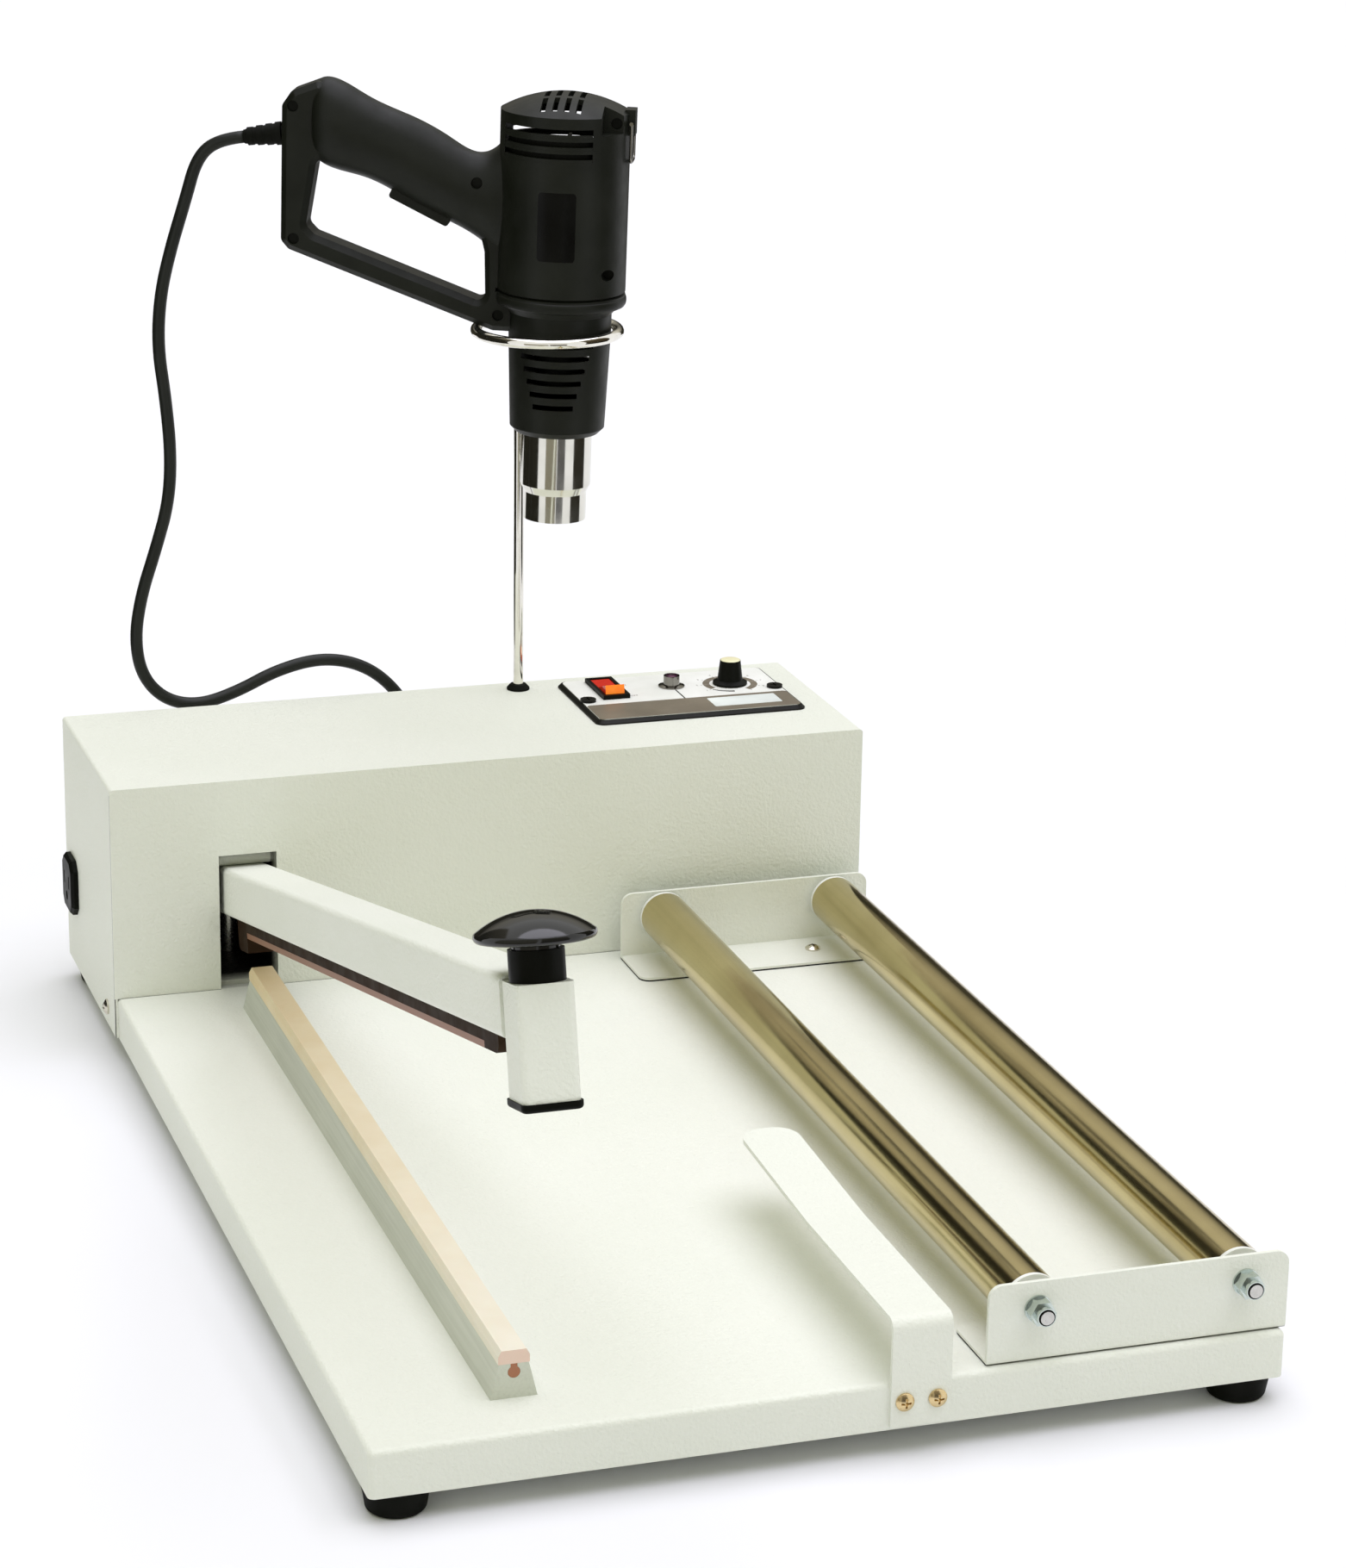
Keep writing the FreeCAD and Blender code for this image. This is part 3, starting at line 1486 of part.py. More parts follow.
def pivot_bracket():
    """Two cheeks on a foot plate, with the round bar that stops the raised arm."""
    half = D.slot_width / 2
    outer = half + D.cheek_thickness
    low_y = face + D.sheet + D.cheek_front
    high_y = low_y + D.cheek_depth
    top = deck + D.cheek_height
    foot_top = deck + D.cheek_thickness
    parts = [box("pivot_foot", (seal_x - outer, seal_x + outer), (low_y, high_y), (deck, foot_top))]
    for side in (-1, 1):
        spans = (seal_x + side * half, seal_x + side * outer)
        across = spans if side > 0 else spans[::-1]
        parts.append(box(f"cheek_{side + 1}", across, (low_y, high_y), (deck, top)))
    stop = (face + D.stop_setback, arm_top_at(face + D.stop_setback) + D.free_gap + D.stop_radius)
    parts.append(rod("stop_bar", "x", D.stop_radius, stop, seal_x - outer, seal_x + outer))
    reach = outer + OVERRUN
    hole = rod("cheek_bore", "x", D.pivot_radius, (pivot_y, pivot_z), seal_x - reach, seal_x + reach)
    return node("pivot_bracket", cut("pivot_bracket", fuse("pivot_whole", parts), [hole]))


def arm_top_at(y):
    """Height of the raised arm's upper face above a point of its line, with room for a round bar."""
    slope = sine(D.raise_angle) / cosine(D.raise_angle)
    lean = D.stop_radius * (1 / cosine(D.raise_angle) - 1)
    return pivot_z + (pivot_y - y) * slope + D.arm_size / 2 / cosine(D.raise_angle) + lean


def pivot_shaft():
    reach = D.slot_width / 2 + 2 * D.cheek_thickness
    shaft = rod("pivot_shaft", "x", D.pivot_radius, (pivot_y, pivot_z), seal_x - reach, seal_x + reach)
    return node("pivot_shaft", shaft)


def return_spring():
    """The spring that pulls the arm's tail down, between the foot plate and the tail."""
    low = deck + D.cheek_thickness
    tail_low = pivot_z - D.spring_back * sine(D.raise_angle) - D.arm_size / 2 * cosine(D.raise_angle)
    edge = D.spring_radius * sine(D.raise_angle) / cosine(D.raise_angle)
    high = tail_low - edge - D.free_gap
    spot = (seal_x, pivot_y + D.spring_back * cosine(D.raise_angle) - D.arm_size / 2 * sine(D.raise_angle))
    coil = rod("spring_blank", "z", D.spring_radius, spot, low, high)
    hole = rod("spring_hole", "z", D.spring_radius - D.spring_wall, spot, low - OVERRUN, high + OVERRUN)
    return node("return_spring", cut("return_spring", coil, [hole]))


# Inside the housing

def transformer():
    """An E core on the tray with its winding round the middle limb."""
    low_x = left + D.core_left
    high_x = low_x + D.core_width
    low_y = back - D.sheet - D.core_depth - D.coil_proud - D.board_standoff
    high_y = low_y + D.core_depth
    top = deck + D.core_height
    core = box("core_blank", (low_x, high_x), (low_y, high_y), (deck, top))
    windows = []
    for index, x in enumerate((low_x + D.core_limb, high_x - D.core_limb - D.core_window)):
        windows.append(box(
            f"core_window_{index}",
            (x, x + D.core_window),
            (low_y - OVERRUN, high_y + OVERRUN),
            (deck + D.core_window, top - D.core_window),
        ))
    node("transformer_core", cut("transformer_core", core, windows))
    slack = D.free_gap
    outer = box(
        "coil_blank",
        (low_x + D.core_limb + slack, high_x - D.core_limb - slack),
        (low_y - D.coil_proud, high_y + D.coil_proud),
        (deck + D.core_window + slack, top - D.core_window - slack),
    )
    limb = box(
        "coil_limb",
        (low_x + D.core_limb + D.core_window, high_x - D.core_limb - D.core_window),
        (low_y, high_y),
        (deck, top),
    )
    return node("transformer_coil", cut("transformer_coil", outer, [limb]))


def timer_board():
    """The timer's circuit board on four studs on the back panel."""
    low_x = right - D.board_from_right
    low_z = deck + D.inlet_height + D.inlet_tall / 2 + D.free_gap
    far = back - D.sheet - D.board_standoff
    plate = box(
        "board_plate",
        (low_x, low_x + D.board_width),
        (far - D.board_thickness, far),
        (low_z, low_z + D.board_height),
    )
    inset = 2 * D.board_stud_radius
    parts = [plate]
    for index in range(4):
        x = low_x + inset if index % 2 else low_x + D.board_width - inset
        z = low_z + inset if index // 2 else low_z + D.board_height - inset
        parts.append(rod(f"board_stud_{index}", "y", D.board_stud_radius, (x, z), far, back - D.sheet))
    return node("timer_board", fuse("timer_board", parts))


def microswitch():
    """The switch on the outer cheek that starts the timer when the arm comes down."""
    low_x = seal_x + D.slot_width / 2 + D.cheek_thickness
    low_y = pivot_y + 2 * D.pivot_radius
    low_z = pivot_z - D.microswitch_height / 2
    body = box(
        "microswitch",
        (low_x, low_x + D.microswitch_width),
        (low_y, low_y + D.microswitch_depth),
        (low_z, low_z + D.microswitch_height),
    )
    return node("microswitch", body)


# Heat gun: built upright in its own frame, then turned and set on the ring

GUN_TURN = FreeCAD.Rotation(FreeCAD.Vector(0, 0, 1), -float(D.gun_yaw)).multiply(
    FreeCAD.Rotation(FreeCAD.Vector(0, 1, 0), float(D.gun_lean))
)


gun_x = right - D.gun_from_right
gun_y = face + D.gun_setback
gun_z = ring_z + D.rod_radius + D.gun_seat
GUN_FRAME = FreeCAD.Placement(FreeCAD.Vector(gun_x, gun_y, gun_z), GUN_TURN)


def on_gun(label, solid):
    """Sets a finished gun piece in its place on the stand."""
    return node(label, place(solid, gun_x, gun_y, gun_z, GUN_TURN))


def within_gun(label, body, frame):
    """Sets a piece built in a frame of its own in its place on the gun."""
    body.Placement = GUN_FRAME.multiply(frame)
    return node(label, body)


GRIP_OUTER = [
    (-25.0, -2.5), (-34.5, -2.5), (-142.0, 34.5), (-146.0, 39.0), (-146.0, 109.0), (-141.0, 116.5),
    (-125.0, 123.0), (-119.0, 110.0), (-79.5, 96.0), (-46.0, 79.0), (-25.0, 79.0),
]
GRIP_LOOP = [
    (-38.5, 11.5), (-39.5, 38.5), (-43.0, 52.0), (-119.0, 88.0), (-128.0, 80.0), (-133.0, 47.5),
    (-128.5, 43.0),
]
GRIP_ROUNDED = GRIP_OUTER[1:7] + GRIP_LOOP[:2] + GRIP_LOOP[4:]
GRIP_UNDER = [(-44.0, 45.5), (-119.5, 80.5)]
GRIP_BAR = [
    (-130.0, 84.0, 119.5, 0.67), (-126.0, 79.6, 123.2, 0.95), (-103.0, 72.9, 115.0, 1.0),
    (-79.5, 62.0, 105.5, 1.0), (-60.0, 52.9, 95.9, 1.0), (-46.0, 46.0, 89.0, 1.0),
    (-36.5, 39.0, 91.3, 1.0), (-27.0, 30.0, 101.5, 1.0),
]


def grip_outline(points):
    return [(Size(x, repr(x)), Size(z, repr(z))) for x, z in points]


def grip_blank():
    """The handle's frame: one plate with the finger loop through it, round corners and bevelled edges."""
    half = D.grip_thickness / 2
    body = doc.addObject("PartDesign::Body", "grip_blank")
    item = sketch(body, "grip_sketch", "XZ_Plane", -half)
    outline(item, grip_outline(GRIP_OUTER))
    outline(item, grip_outline(GRIP_LOOP))
    feature = body.newObject("PartDesign::Pad", "grip_pad")
    feature.Profile = item
    bind(feature, "Length", D.grip_thickness)
    inner = GRIP_OUTER[0][0] - 0.1
    dressed(body, "Fillet", D.grip_corner, lambda edge: runs(edge, "y") and any(
        math.hypot(edge.CenterOfMass.x - x, edge.CenterOfMass.z - z) < 0.02 for x, z in GRIP_ROUNDED
    ))
    dressed(body, "Chamfer", D.grip_chamfer, lambda edge: (
        abs(abs(edge.CenterOfMass.y) - half) < 0.02 and edge.CenterOfMass.x < inner
    ))
    return body


def grip_bar(name, wall):
    """The round upper bar of the handle that swells from the frame and runs into the barrel."""
    rings = []
    sections = GRIP_BAR[1:] if wall else GRIP_BAR
    for index, (x, low, high, share) in enumerate(sections):
        tall = (high - low) / 2
        item = doc.addObject("Part::Ellipse", f"{name}_{index}")
        bind(item, "MajorRadius", Size(tall, repr(tall)) - wall)
        bind(item, "MinorRadius", D.grip_half * share - wall)
        inset = 0 if index else float(wall)
        item.Placement = FreeCAD.Placement(
            FreeCAD.Vector(x + inset, 0, low + tall), FreeCAD.Rotation(FreeCAD.Vector(0, 1, 0), -90)
        )
        rings.append(item)
    bar = doc.addObject("Part::Loft", name)
    bar.Sections = rings
    bar.Solid = True
    return bar


def grip_cavity():
    """The hollow of the handle, a wall in from its outline on every side."""
    def drawn(points, shift):
        spots = [FreeCAD.Vector(x, 0, z) for x, z in points]
        return Part.Face(Part.makePolygon(spots + spots[:1])).makeOffset2D(shift)

    wall = float(D.grip_wall)
    depth = float(D.grip_thickness) / 2 - wall
    room = drawn(GRIP_OUTER, -wall).cut(drawn(GRIP_LOOP, wall))
    room.translate(FreeCAD.Vector(0, -depth, 0))
    return shaped("grip_cavity", room.extrude(FreeCAD.Vector(0, 2 * depth, 0)))


def barrel_profile(shrink):
    """Half outline of the barrel, drawn in by a wall."""
    radius = D.barrel_radius - shrink
    rise = D.barrel_top - D.barrel_shoulder
    crown = (radius * radius + rise * rise) / (2 * rise)
    return [
        (0, D.barrel_low),
        (radius, D.barrel_low),
        (radius, D.barrel_shoulder - shrink, crown),
        (0, D.barrel_top - shrink),
    ]


def edge_frame():
    """A frame at the trigger under the round bar: X along the bar, Z into it."""
    near_end = FreeCAD.Vector(GRIP_UNDER[0][0], 0, GRIP_UNDER[0][1])
    far_end = FreeCAD.Vector(GRIP_UNDER[1][0], 0, GRIP_UNDER[1][1])
    along = (near_end - far_end).normalize()
    tilt = math.degrees(math.atan2(-along.z, along.x))
    spot = near_end - along * float(D.trigger_setback)
    return FreeCAD.Placement(spot, FreeCAD.Rotation(FreeCAD.Vector(0, 1, 0), tilt))


def pockets(grow):
    """Room cut from the barrel's crown on both sides of the hook's lug, grown by a wall."""
    reach = D.barrel_radius + OVERRUN
    sides = []
    for word, span in (("near", (-reach, grow - D.pocket_half)), ("far", (D.pocket_half - grow, reach))):
        sides.append(box(
            f"pocket_{word}",
            (D.pocket_left - grow, reach),
            span,
            (D.pocket_low - grow, D.barrel_top + OVERRUN),
        ))
    return sides


def shell_parts():
    """Both halves of the shell, split along the gun's middle plane, with vents and trigger room."""
    lug = box(
        "hook_lug",
        (D.barrel_radius - D.barrel_wall, D.hook_out + 1.5 * D.hook_wire),
        (-D.lug_half, D.lug_half),
        (D.hook_level - D.lug_half_height, D.hook_level + D.lug_half_height),
    )
    barrel = cut("barrel_cut", turned("barrel_blank", barrel_profile(0)), pockets(0))
    outside = fuse("gun_outside", [grip_blank(), grip_bar("grip_bar", 0), barrel, lug])
    slack = D.drill_clearance
    seat = turned("collar_seat", [
        (0, D.collar_low),
        (D.collar_top_radius + slack, D.collar_low),
        (D.collar_top_radius + slack, D.collar_foot),
        (D.barrel_radius + slack, D.barrel_low),
        (0, D.barrel_low),
    ])
    seam = turned("barrel_seam", [
        (D.barrel_radius - D.seam_depth, D.seam_level),
        (D.barrel_radius + OVERRUN, D.seam_level - D.seam_half),
        (D.barrel_radius + OVERRUN, D.seam_level + D.seam_half),
    ])
    room = turned("barrel_room", barrel_profile(D.barrel_wall))
    inside = cut("barrel_inside", room, pockets(D.barrel_wall))
    hollow = cut("gun_hollow", outside, [grip_cavity(), grip_bar("bar_room", D.grip_wall), inside])
    filled = fuse("gun_filled", [hollow] + screw_bosses())
    reach = D.lug_half + OVERRUN
    hook = rod("hook_bore", "y", D.hook_wire + D.running_clearance, (D.hook_out, D.hook_level), -reach, reach)
    stub = D.relief_stub + D.free_gap
    bore = relief_stub_radius + slack
    stand = 2 * D.relief_stand
    relief = turned("relief_bore", [(0, -stub), (bore, -stub), (bore, stand), (0, stand)])
    relief.Placement = RELIEF_FRAME
    tools = [seat, seam, trigger_room(), hook, relief] + vents() + dome_slots() + screw_bores()
    shell = cut("gun_shell", filled, tools)
    reach = D.tray_width
    for side, span in (("near", (-reach, 0)), ("far", (0, reach))):
        part = box(f"half_{side}", (-reach, reach), span, (-reach, reach))
        on_gun(f"gun_shell_{side}", common(f"gun_shell_{side}", shell, part))


def vents():
    """Slots through the barrel's sides for the air."""
    slots = []
    for index in range(3):
        high = D.vent_high - index * D.vent_pitch
        slots.append(box(
            f"vent_{index}",
            (D.vent_left, D.vent_right),
            (-D.barrel_radius - OVERRUN, D.barrel_radius + OVERRUN),
            (high - D.vent_slot, high),
        ))
    return slots


def dome_slots():
    """Narrow slots over the barrel's crown, each in three runs between cross ribs."""
    outer = D.dome_near + D.dome_rib
    runs_across = [(-D.dome_far, -outer), (-D.dome_near, D.dome_near), (outer, D.dome_far)]
    slots = []
    for index in range(4):
        middle = (index - 1.5) * D.dome_pitch
        for row, span in enumerate(runs_across):
            slots.append(box(
                f"dome_slot_{index}_{row}",
                (middle - D.dome_slot / 2, middle + D.dome_slot / 2),
                span,
                (D.barrel_shoulder - 2 * D.barrel_wall, D.barrel_top + OVERRUN),
            ))
    return slots


LOW_SCREW = 26.0
frame_half = D.grip_thickness / 2
low_screw_edge = LOW_SCREW + D.gun_screw_radius
GUN_SCREWS = [
    ((-140.0, 109.0), frame_half),
    ((-139.0, 40.5), frame_half),
    ((-31.5, 6.0), frame_half),
    ((-43.5, 75.0), D.grip_half - D.drill_clearance - OVERRUN),
    ((27.5, 108.8), D.pocket_half),
    ((LOW_SCREW, 32.0), root(D.barrel_radius * D.barrel_radius - low_screw_edge * low_screw_edge)),
]


def screw_bosses():
    """Posts inside the shell for its screws; the lowest runs on to the barrel's round wall."""
    posts = []
    for index, (spot, half) in enumerate(GUN_SCREWS[:-1]):
        reach = half - D.boss_sunk
        posts.append(rod(f"boss_{index}", "y", D.boss_radius, spot, -reach, reach))
    spot = GUN_SCREWS[-1][0]
    cross = rod("boss_low", "y", D.boss_radius, spot, -D.barrel_radius, D.barrel_radius)
    posts.append(common("boss_round", cross, turned("boss_limit", barrel_profile(D.barrel_wall / 2))))
    return posts


def screw_bores():
    return [
        rod(
            f"gun_screw_bore_{index}", "y", D.gun_screw_radius + D.drill_clearance, spot,
            -D.barrel_radius, half - D.gun_screw_short + OVERRUN,
        )
        for index, (spot, half) in enumerate(GUN_SCREWS)
    ]


def gun_screws():
    screws = [
        rod(
            f"gun_screw_{index}", "y", D.gun_screw_radius, spot,
            D.gun_screw_sunk - half, half - D.gun_screw_short,
        )
        for index, (spot, half) in enumerate(GUN_SCREWS)
    ]
    return on_gun("gun_screws", group("gun_screws", screws))


def gun_collar():
    wall = D.collar_wall
    foot = D.collar_foot
    flange = D.barrel_low
    chamfer = 3.0
    body = turned("collar_blank", [
        (D.nozzle_radius + D.free_gap, D.collar_low - chamfer),
        (D.collar_low_radius - chamfer, D.collar_low - chamfer),
        (D.collar_low_radius, D.collar_low),
        (D.collar_top_radius, 0),
        (D.collar_top_radius, foot),
        (D.barrel_radius, flange),
        (D.collar_top_radius - wall, flange),
        (D.collar_top_radius - wall, 0),
        (D.collar_low_radius - wall, D.collar_low + wall),
        (D.nozzle_radius + D.free_gap, D.collar_low + wall),
    ])
    slots = []
    for index in range(6):
        low = D.collar_slot_first + index * D.collar_slot_pitch
        half = D.collar_slot_short / 2 + index * D.collar_slot_step / 2
        slots.append(box(
            f"collar_slot_{index}",
            (-half, half),
            (-D.barrel_radius, D.barrel_radius),
            (low, low + D.collar_slot_height),
        ))
    return on_gun("gun_collar", cut("gun_collar", body, slots))


def gun_nozzle():
    wall = D.nozzle_wall
    body = turned("gun_nozzle", [
        (D.nozzle_radius - wall, D.nozzle_root),
        (D.nozzle_radius - wall, D.nozzle_shoulder),
        (D.nozzle_mouth_radius - wall, D.nozzle_neck),
        (D.nozzle_mouth_radius - wall, D.nozzle_low),
        (D.nozzle_mouth_radius, D.nozzle_low),
        (D.nozzle_mouth_radius, D.nozzle_neck),
        (D.nozzle_radius, D.nozzle_shoulder),
        (D.nozzle_radius, D.collar_low + D.collar_wall),
        (D.collar_low_radius - D.collar_wall, D.collar_low + D.collar_wall),
        (D.collar_low_radius - D.collar_wall, D.collar_low + 2 * D.collar_wall),
        (D.nozzle_radius, D.collar_low + 2 * D.collar_wall),
        (D.nozzle_radius, D.nozzle_root),
    ])
    return on_gun("gun_nozzle", body)


def gun_motor():
    """The fan motor on a plate across the barrel, bored for the spindle."""
    can = rod("motor_can", "z", D.motor_radius, (0, 0), D.motor_low, D.motor_high)
    plate_radius = D.barrel_radius - D.barrel_wall
    plate = rod("motor_plate", "z", plate_radius, (0, 0), D.motor_low, D.motor_low + D.motor_plate)
    bore = rod(
        "motor_bore", "z", D.spindle_radius + D.running_clearance, (0, 0), D.motor_low + 2 * D.motor_plate,
        D.motor_high + OVERRUN,
    )
    air = [
        rod(f"motor_air_{index}", "z", D.motor_air_radius, (
            D.motor_air_circle * math.cos(math.radians(60 * index)),
            D.motor_air_circle * math.sin(math.radians(60 * index)),
        ), D.motor_low - OVERRUN, D.motor_low + D.motor_plate + OVERRUN)
        for index in range(6)
    ]
    return on_gun("gun_motor", cut("gun_motor", fuse("motor_whole", [can, plate]), [bore] + air))


FAN_BLADES = 8


def gun_fan():
    """A bladed wheel on the spindle that runs in the motor."""
    top = D.fan_low + D.fan_height
    hub = rod("fan_hub", "z", D.fan_hub_radius, (0, 0), D.fan_low, top)
    disc = rod("fan_disc", "z", D.fan_radius, (0, 0), D.fan_low, D.fan_low + D.fan_blade)
    spindle_low = D.motor_low + 2 * D.motor_plate + D.free_gap
    spindle = rod("fan_spindle", "z", D.spindle_radius, (0, 0), spindle_low, top)
    blades = []
    for index in range(FAN_BLADES):
        half = D.fan_blade / 2
        outline_xy = rectangle(D.fan_hub_radius / 2, D.fan_radius, -half, half)
        blade = prism(f"fan_blade_{index}", "XY_Plane", outline_xy, D.fan_low, top)
        turn = FreeCAD.Rotation(FreeCAD.Vector(0, 0, 1), 360 * index / FAN_BLADES)
        blade.Placement = FreeCAD.Placement(FreeCAD.Vector(), turn)
        blades.append(blade)
    return on_gun("gun_fan", fuse("gun_fan", [hub, disc, spindle] + blades))


def gun_heater():
    """The heating core in the nozzle, hung from a disc at the barrel's mouth."""
    core = rod("heater_core", "z", D.heater_radius, (0, 0), D.heater_low, D.barrel_low)
    disc_radius = D.collar_top_radius - D.collar_wall - D.drill_clearance
    disc_low = D.barrel_low - 2 * D.heater_disc
    disc = rod("heater_disc", "z", disc_radius, (0, 0), disc_low, disc_low + D.heater_disc)
    bore_ends = (D.heater_low - OVERRUN, D.barrel_low + OVERRUN)
    bore = rod("heater_bore", "z", D.heater_radius / 2, (0, 0), *bore_ends)
    air = [
        rod(f"heater_air_{index}", "z", D.heater_air_radius, (
            D.heater_air_circle * math.cos(math.radians(45 * index)),
            D.heater_air_circle * math.sin(math.radians(45 * index)),
        ), 0, D.barrel_low)
        for index in range(8)
    ]
    return on_gun("gun_heater", cut("gun_heater", fuse("heater_whole", [core, disc]), [bore] + air))


def trigger_room():
    """The trigger's way into the grip, with its travel."""
    half = D.trigger_length / 2 + D.trigger_gap
    wide = D.trigger_width / 2 + D.trigger_gap
    deep = D.trigger_depth + D.trigger_travel + D.trigger_gap
    room = prism("trigger_room", "XZ_Plane", rectangle(-half, half, -D.trigger_proud, deep), -wide, wide)
    room.Placement = edge_frame()
    return room


def gun_trigger():
    half = D.trigger_length / 2
    wide = D.trigger_width / 2
    low = -D.trigger_proud
    body = prism("gun_trigger", "XZ_Plane", rectangle(-half, half, low, D.trigger_depth), -wide, wide)
    dressed(body, "Fillet", D.trigger_proud * 0.7, lambda edge: (
        runs(edge, "y") and abs(edge.CenterOfMass.z - low) < 0.02
    ))
    return within_gun("gun_trigger", body, edge_frame())


def gun_hook():
    """A wire bail with round corners that hangs from a pin through the lug at the gun's rear end."""
    half = D.hook_half
    wire = D.hook_leg
    bend_low = D.hook_level - D.hook_drop
    bend_high = bend_low + D.hook_bend
    inner = half - D.hook_bend
    end = half + 2 * D.hook_wire
    parts = [
        rod("hook_pin", "y", D.hook_wire, (D.hook_out, D.hook_level), -end, end),
        rod("hook_base", "y", wire, (D.hook_out, bend_low), -inner, inner),
    ]
    down = FreeCAD.Vector(0, 0, -1)
    for side in (-1, 1):
        parts.append(rod(f"hook_leg_{side + 1}", "z", wire, (D.hook_out, side * half), bend_high, D.hook_level))
        elbow = doc.addObject("Part::Torus", f"hook_elbow_{side + 1}")
        bind(elbow, "Radius1", D.hook_bend)
        bind(elbow, "Radius2", wire)
        elbow.Angle3 = 90
        out = FreeCAD.Vector(0, side, 0)
        first, second = (out, down) if side > 0 else (down, out)
        turn = FreeCAD.Rotation(first, second, first.cross(second), "XYZ")
        elbow.Placement = FreeCAD.Placement(FreeCAD.Vector(D.hook_out, side * inner, bend_high), turn)
        parts.append(elbow)
    return on_gun("gun_hook", fuse("gun_hook", parts))


RELIEF_FRAME = FreeCAD.Placement(
    FreeCAD.Vector(GRIP_OUTER[4][0], 0, D.relief_level),
    FreeCAD.Rotation(FreeCAD.Vector(0, 1, 0), -90 - float(D.relief_slope)),
)
relief_stub_radius = D.relief_tip_radius - D.relief_rib


def gun_strain_relief():
    """A tapered sleeve with ribs round the cord where it leaves the handle, and its root in the shell."""
    count = 4
    pitch = (D.relief_length - D.relief_stand) / count
    taper = (D.relief_tip_radius - D.relief_base_radius) / count
    stub = relief_stub_radius
    corners = [(0, -D.relief_stub), (stub, -D.relief_stub), (stub, D.relief_stand)]
    for index in range(count):
        low = D.relief_stand + index * pitch
        outer = D.relief_base_radius + index * taper
        corners.append((outer, low))
        corners.append((outer, low + pitch * 0.6))
        corners.append((outer - D.relief_rib, low + pitch * 0.6))
        if index < count - 1:
            corners.append((outer - D.relief_rib, low + pitch))
    corners.append((D.relief_tip_radius - D.relief_rib, D.relief_length))
    corners.append((0, D.relief_length))
    return within_gun("gun_strain_relief", turned("gun_strain_relief", corners), RELIEF_FRAME)


# Cord of the gun: a hanging stretch, the put-away length in a flat coil, and the plug

coil_pitch = 2 * D.cord_radius + D.coil_gap
coil_outer = D.coil_inner_radius + D.coil_turns * coil_pitch
coil_lift = D.tie_thickness + D.tie_gap
coil_start = FreeCAD.Vector(right - D.coil_from_right, back + D.coil_setback, D.cord_radius + coil_lift)
coil_middle = coil_start + FreeCAD.Vector(coil_outer, 0, 0)
COIL_CLIMB = 0.5
COIL_SHORT = 0.25
COIL_WHOLE = 2 * float(D.coil_turns) + COIL_CLIMB - COIL_SHORT


def coil_radius(turn):
    """Radius after some turns and how it changes: it shrinks, reverses within the climb and grows again."""
    pitch = float(coil_pitch)
    late = turn - float(D.coil_turns)
    if late <= 0:
        return float(D.coil_inner_radius) - pitch * late, -pitch
    if late >= COIL_CLIMB:
        return float(D.coil_inner_radius) + pitch * (late - COIL_CLIMB), pitch
    slope = pitch * (2 * late / COIL_CLIMB - 1)
    return float(D.coil_inner_radius) + pitch * (late * late / COIL_CLIMB - late), slope


def coil_level(turn):
    """Height after some turns: a smooth climb of one layer between the two spirals."""
    share = (turn - float(D.coil_turns)) / COIL_CLIMB
    share = min(max(share, 0.0), 1.0)
    rise = float(coil_pitch) * share * share * (3 - 2 * share)
    return rise, float(coil_pitch) * 6 * share * (1 - share) / COIL_CLIMB


def coil_point(turn):
    """A point of the coil and the way the cord runs there."""
    angle = math.pi * (1 - 2 * turn)
    radius, outward = coil_radius(turn)
    rise, climb = coil_level(turn)
    spoke = FreeCAD.Vector(math.cos(angle), math.sin(angle), 0)
    ahead = FreeCAD.Vector(math.sin(angle), -math.cos(angle), 0)
    way = spoke * outward + ahead * (2 * math.pi * radius) + FreeCAD.Vector(0, 0, climb)
    return coil_middle + spoke * radius + FreeCAD.Vector(0, 0, rise), way.normalize()


def bend(first, corner, last):
    """The arc that leaves one point towards a corner and reaches the next, with equal tangents."""
    middle = (first + last) * 0.5
    half = (last - first).Length / 2
    height = (corner - middle).Length
    angle = math.atan2(height, half)
    sag = half / math.sin(angle) * (1 - math.cos(angle))
    return Part.Arc(first, middle + (corner - middle).normalize() * sag, last).toShape()


def biarc(first, first_way, last, last_way):
    """Two arcs that join two points and keep the way at both."""
    chord = last - first
    ways = first_way + last_way
    share = 2 * (1 - first_way.dot(last_way))
    along = chord.dot(ways)
    reach = (math.sqrt(along * along + share * chord.dot(chord)) - along) / share
    corner = first + first_way * reach
    other = last - last_way * reach
    joint = (corner + other) * 0.5
    return [bend(first, corner, joint), bend(joint, other, last)]


def tube(name, edges, way):
    """A round cord along joined edges, compared with its section times its length."""
    path = Part.Wire(edges)
    radius = float(D.cord_radius)
    profile = Part.Wire(Part.makeCircle(radius, edges[0].valueAt(edges[0].FirstParameter), way))
    solid = path.makePipeShell([profile], True, False)
    share = solid.Volume / (math.pi * radius * radius * path.Length)
    print(f"{name}: length {path.Length:.1f}, volume against section times length {share:.4f}")
    return shaped(name, solid)


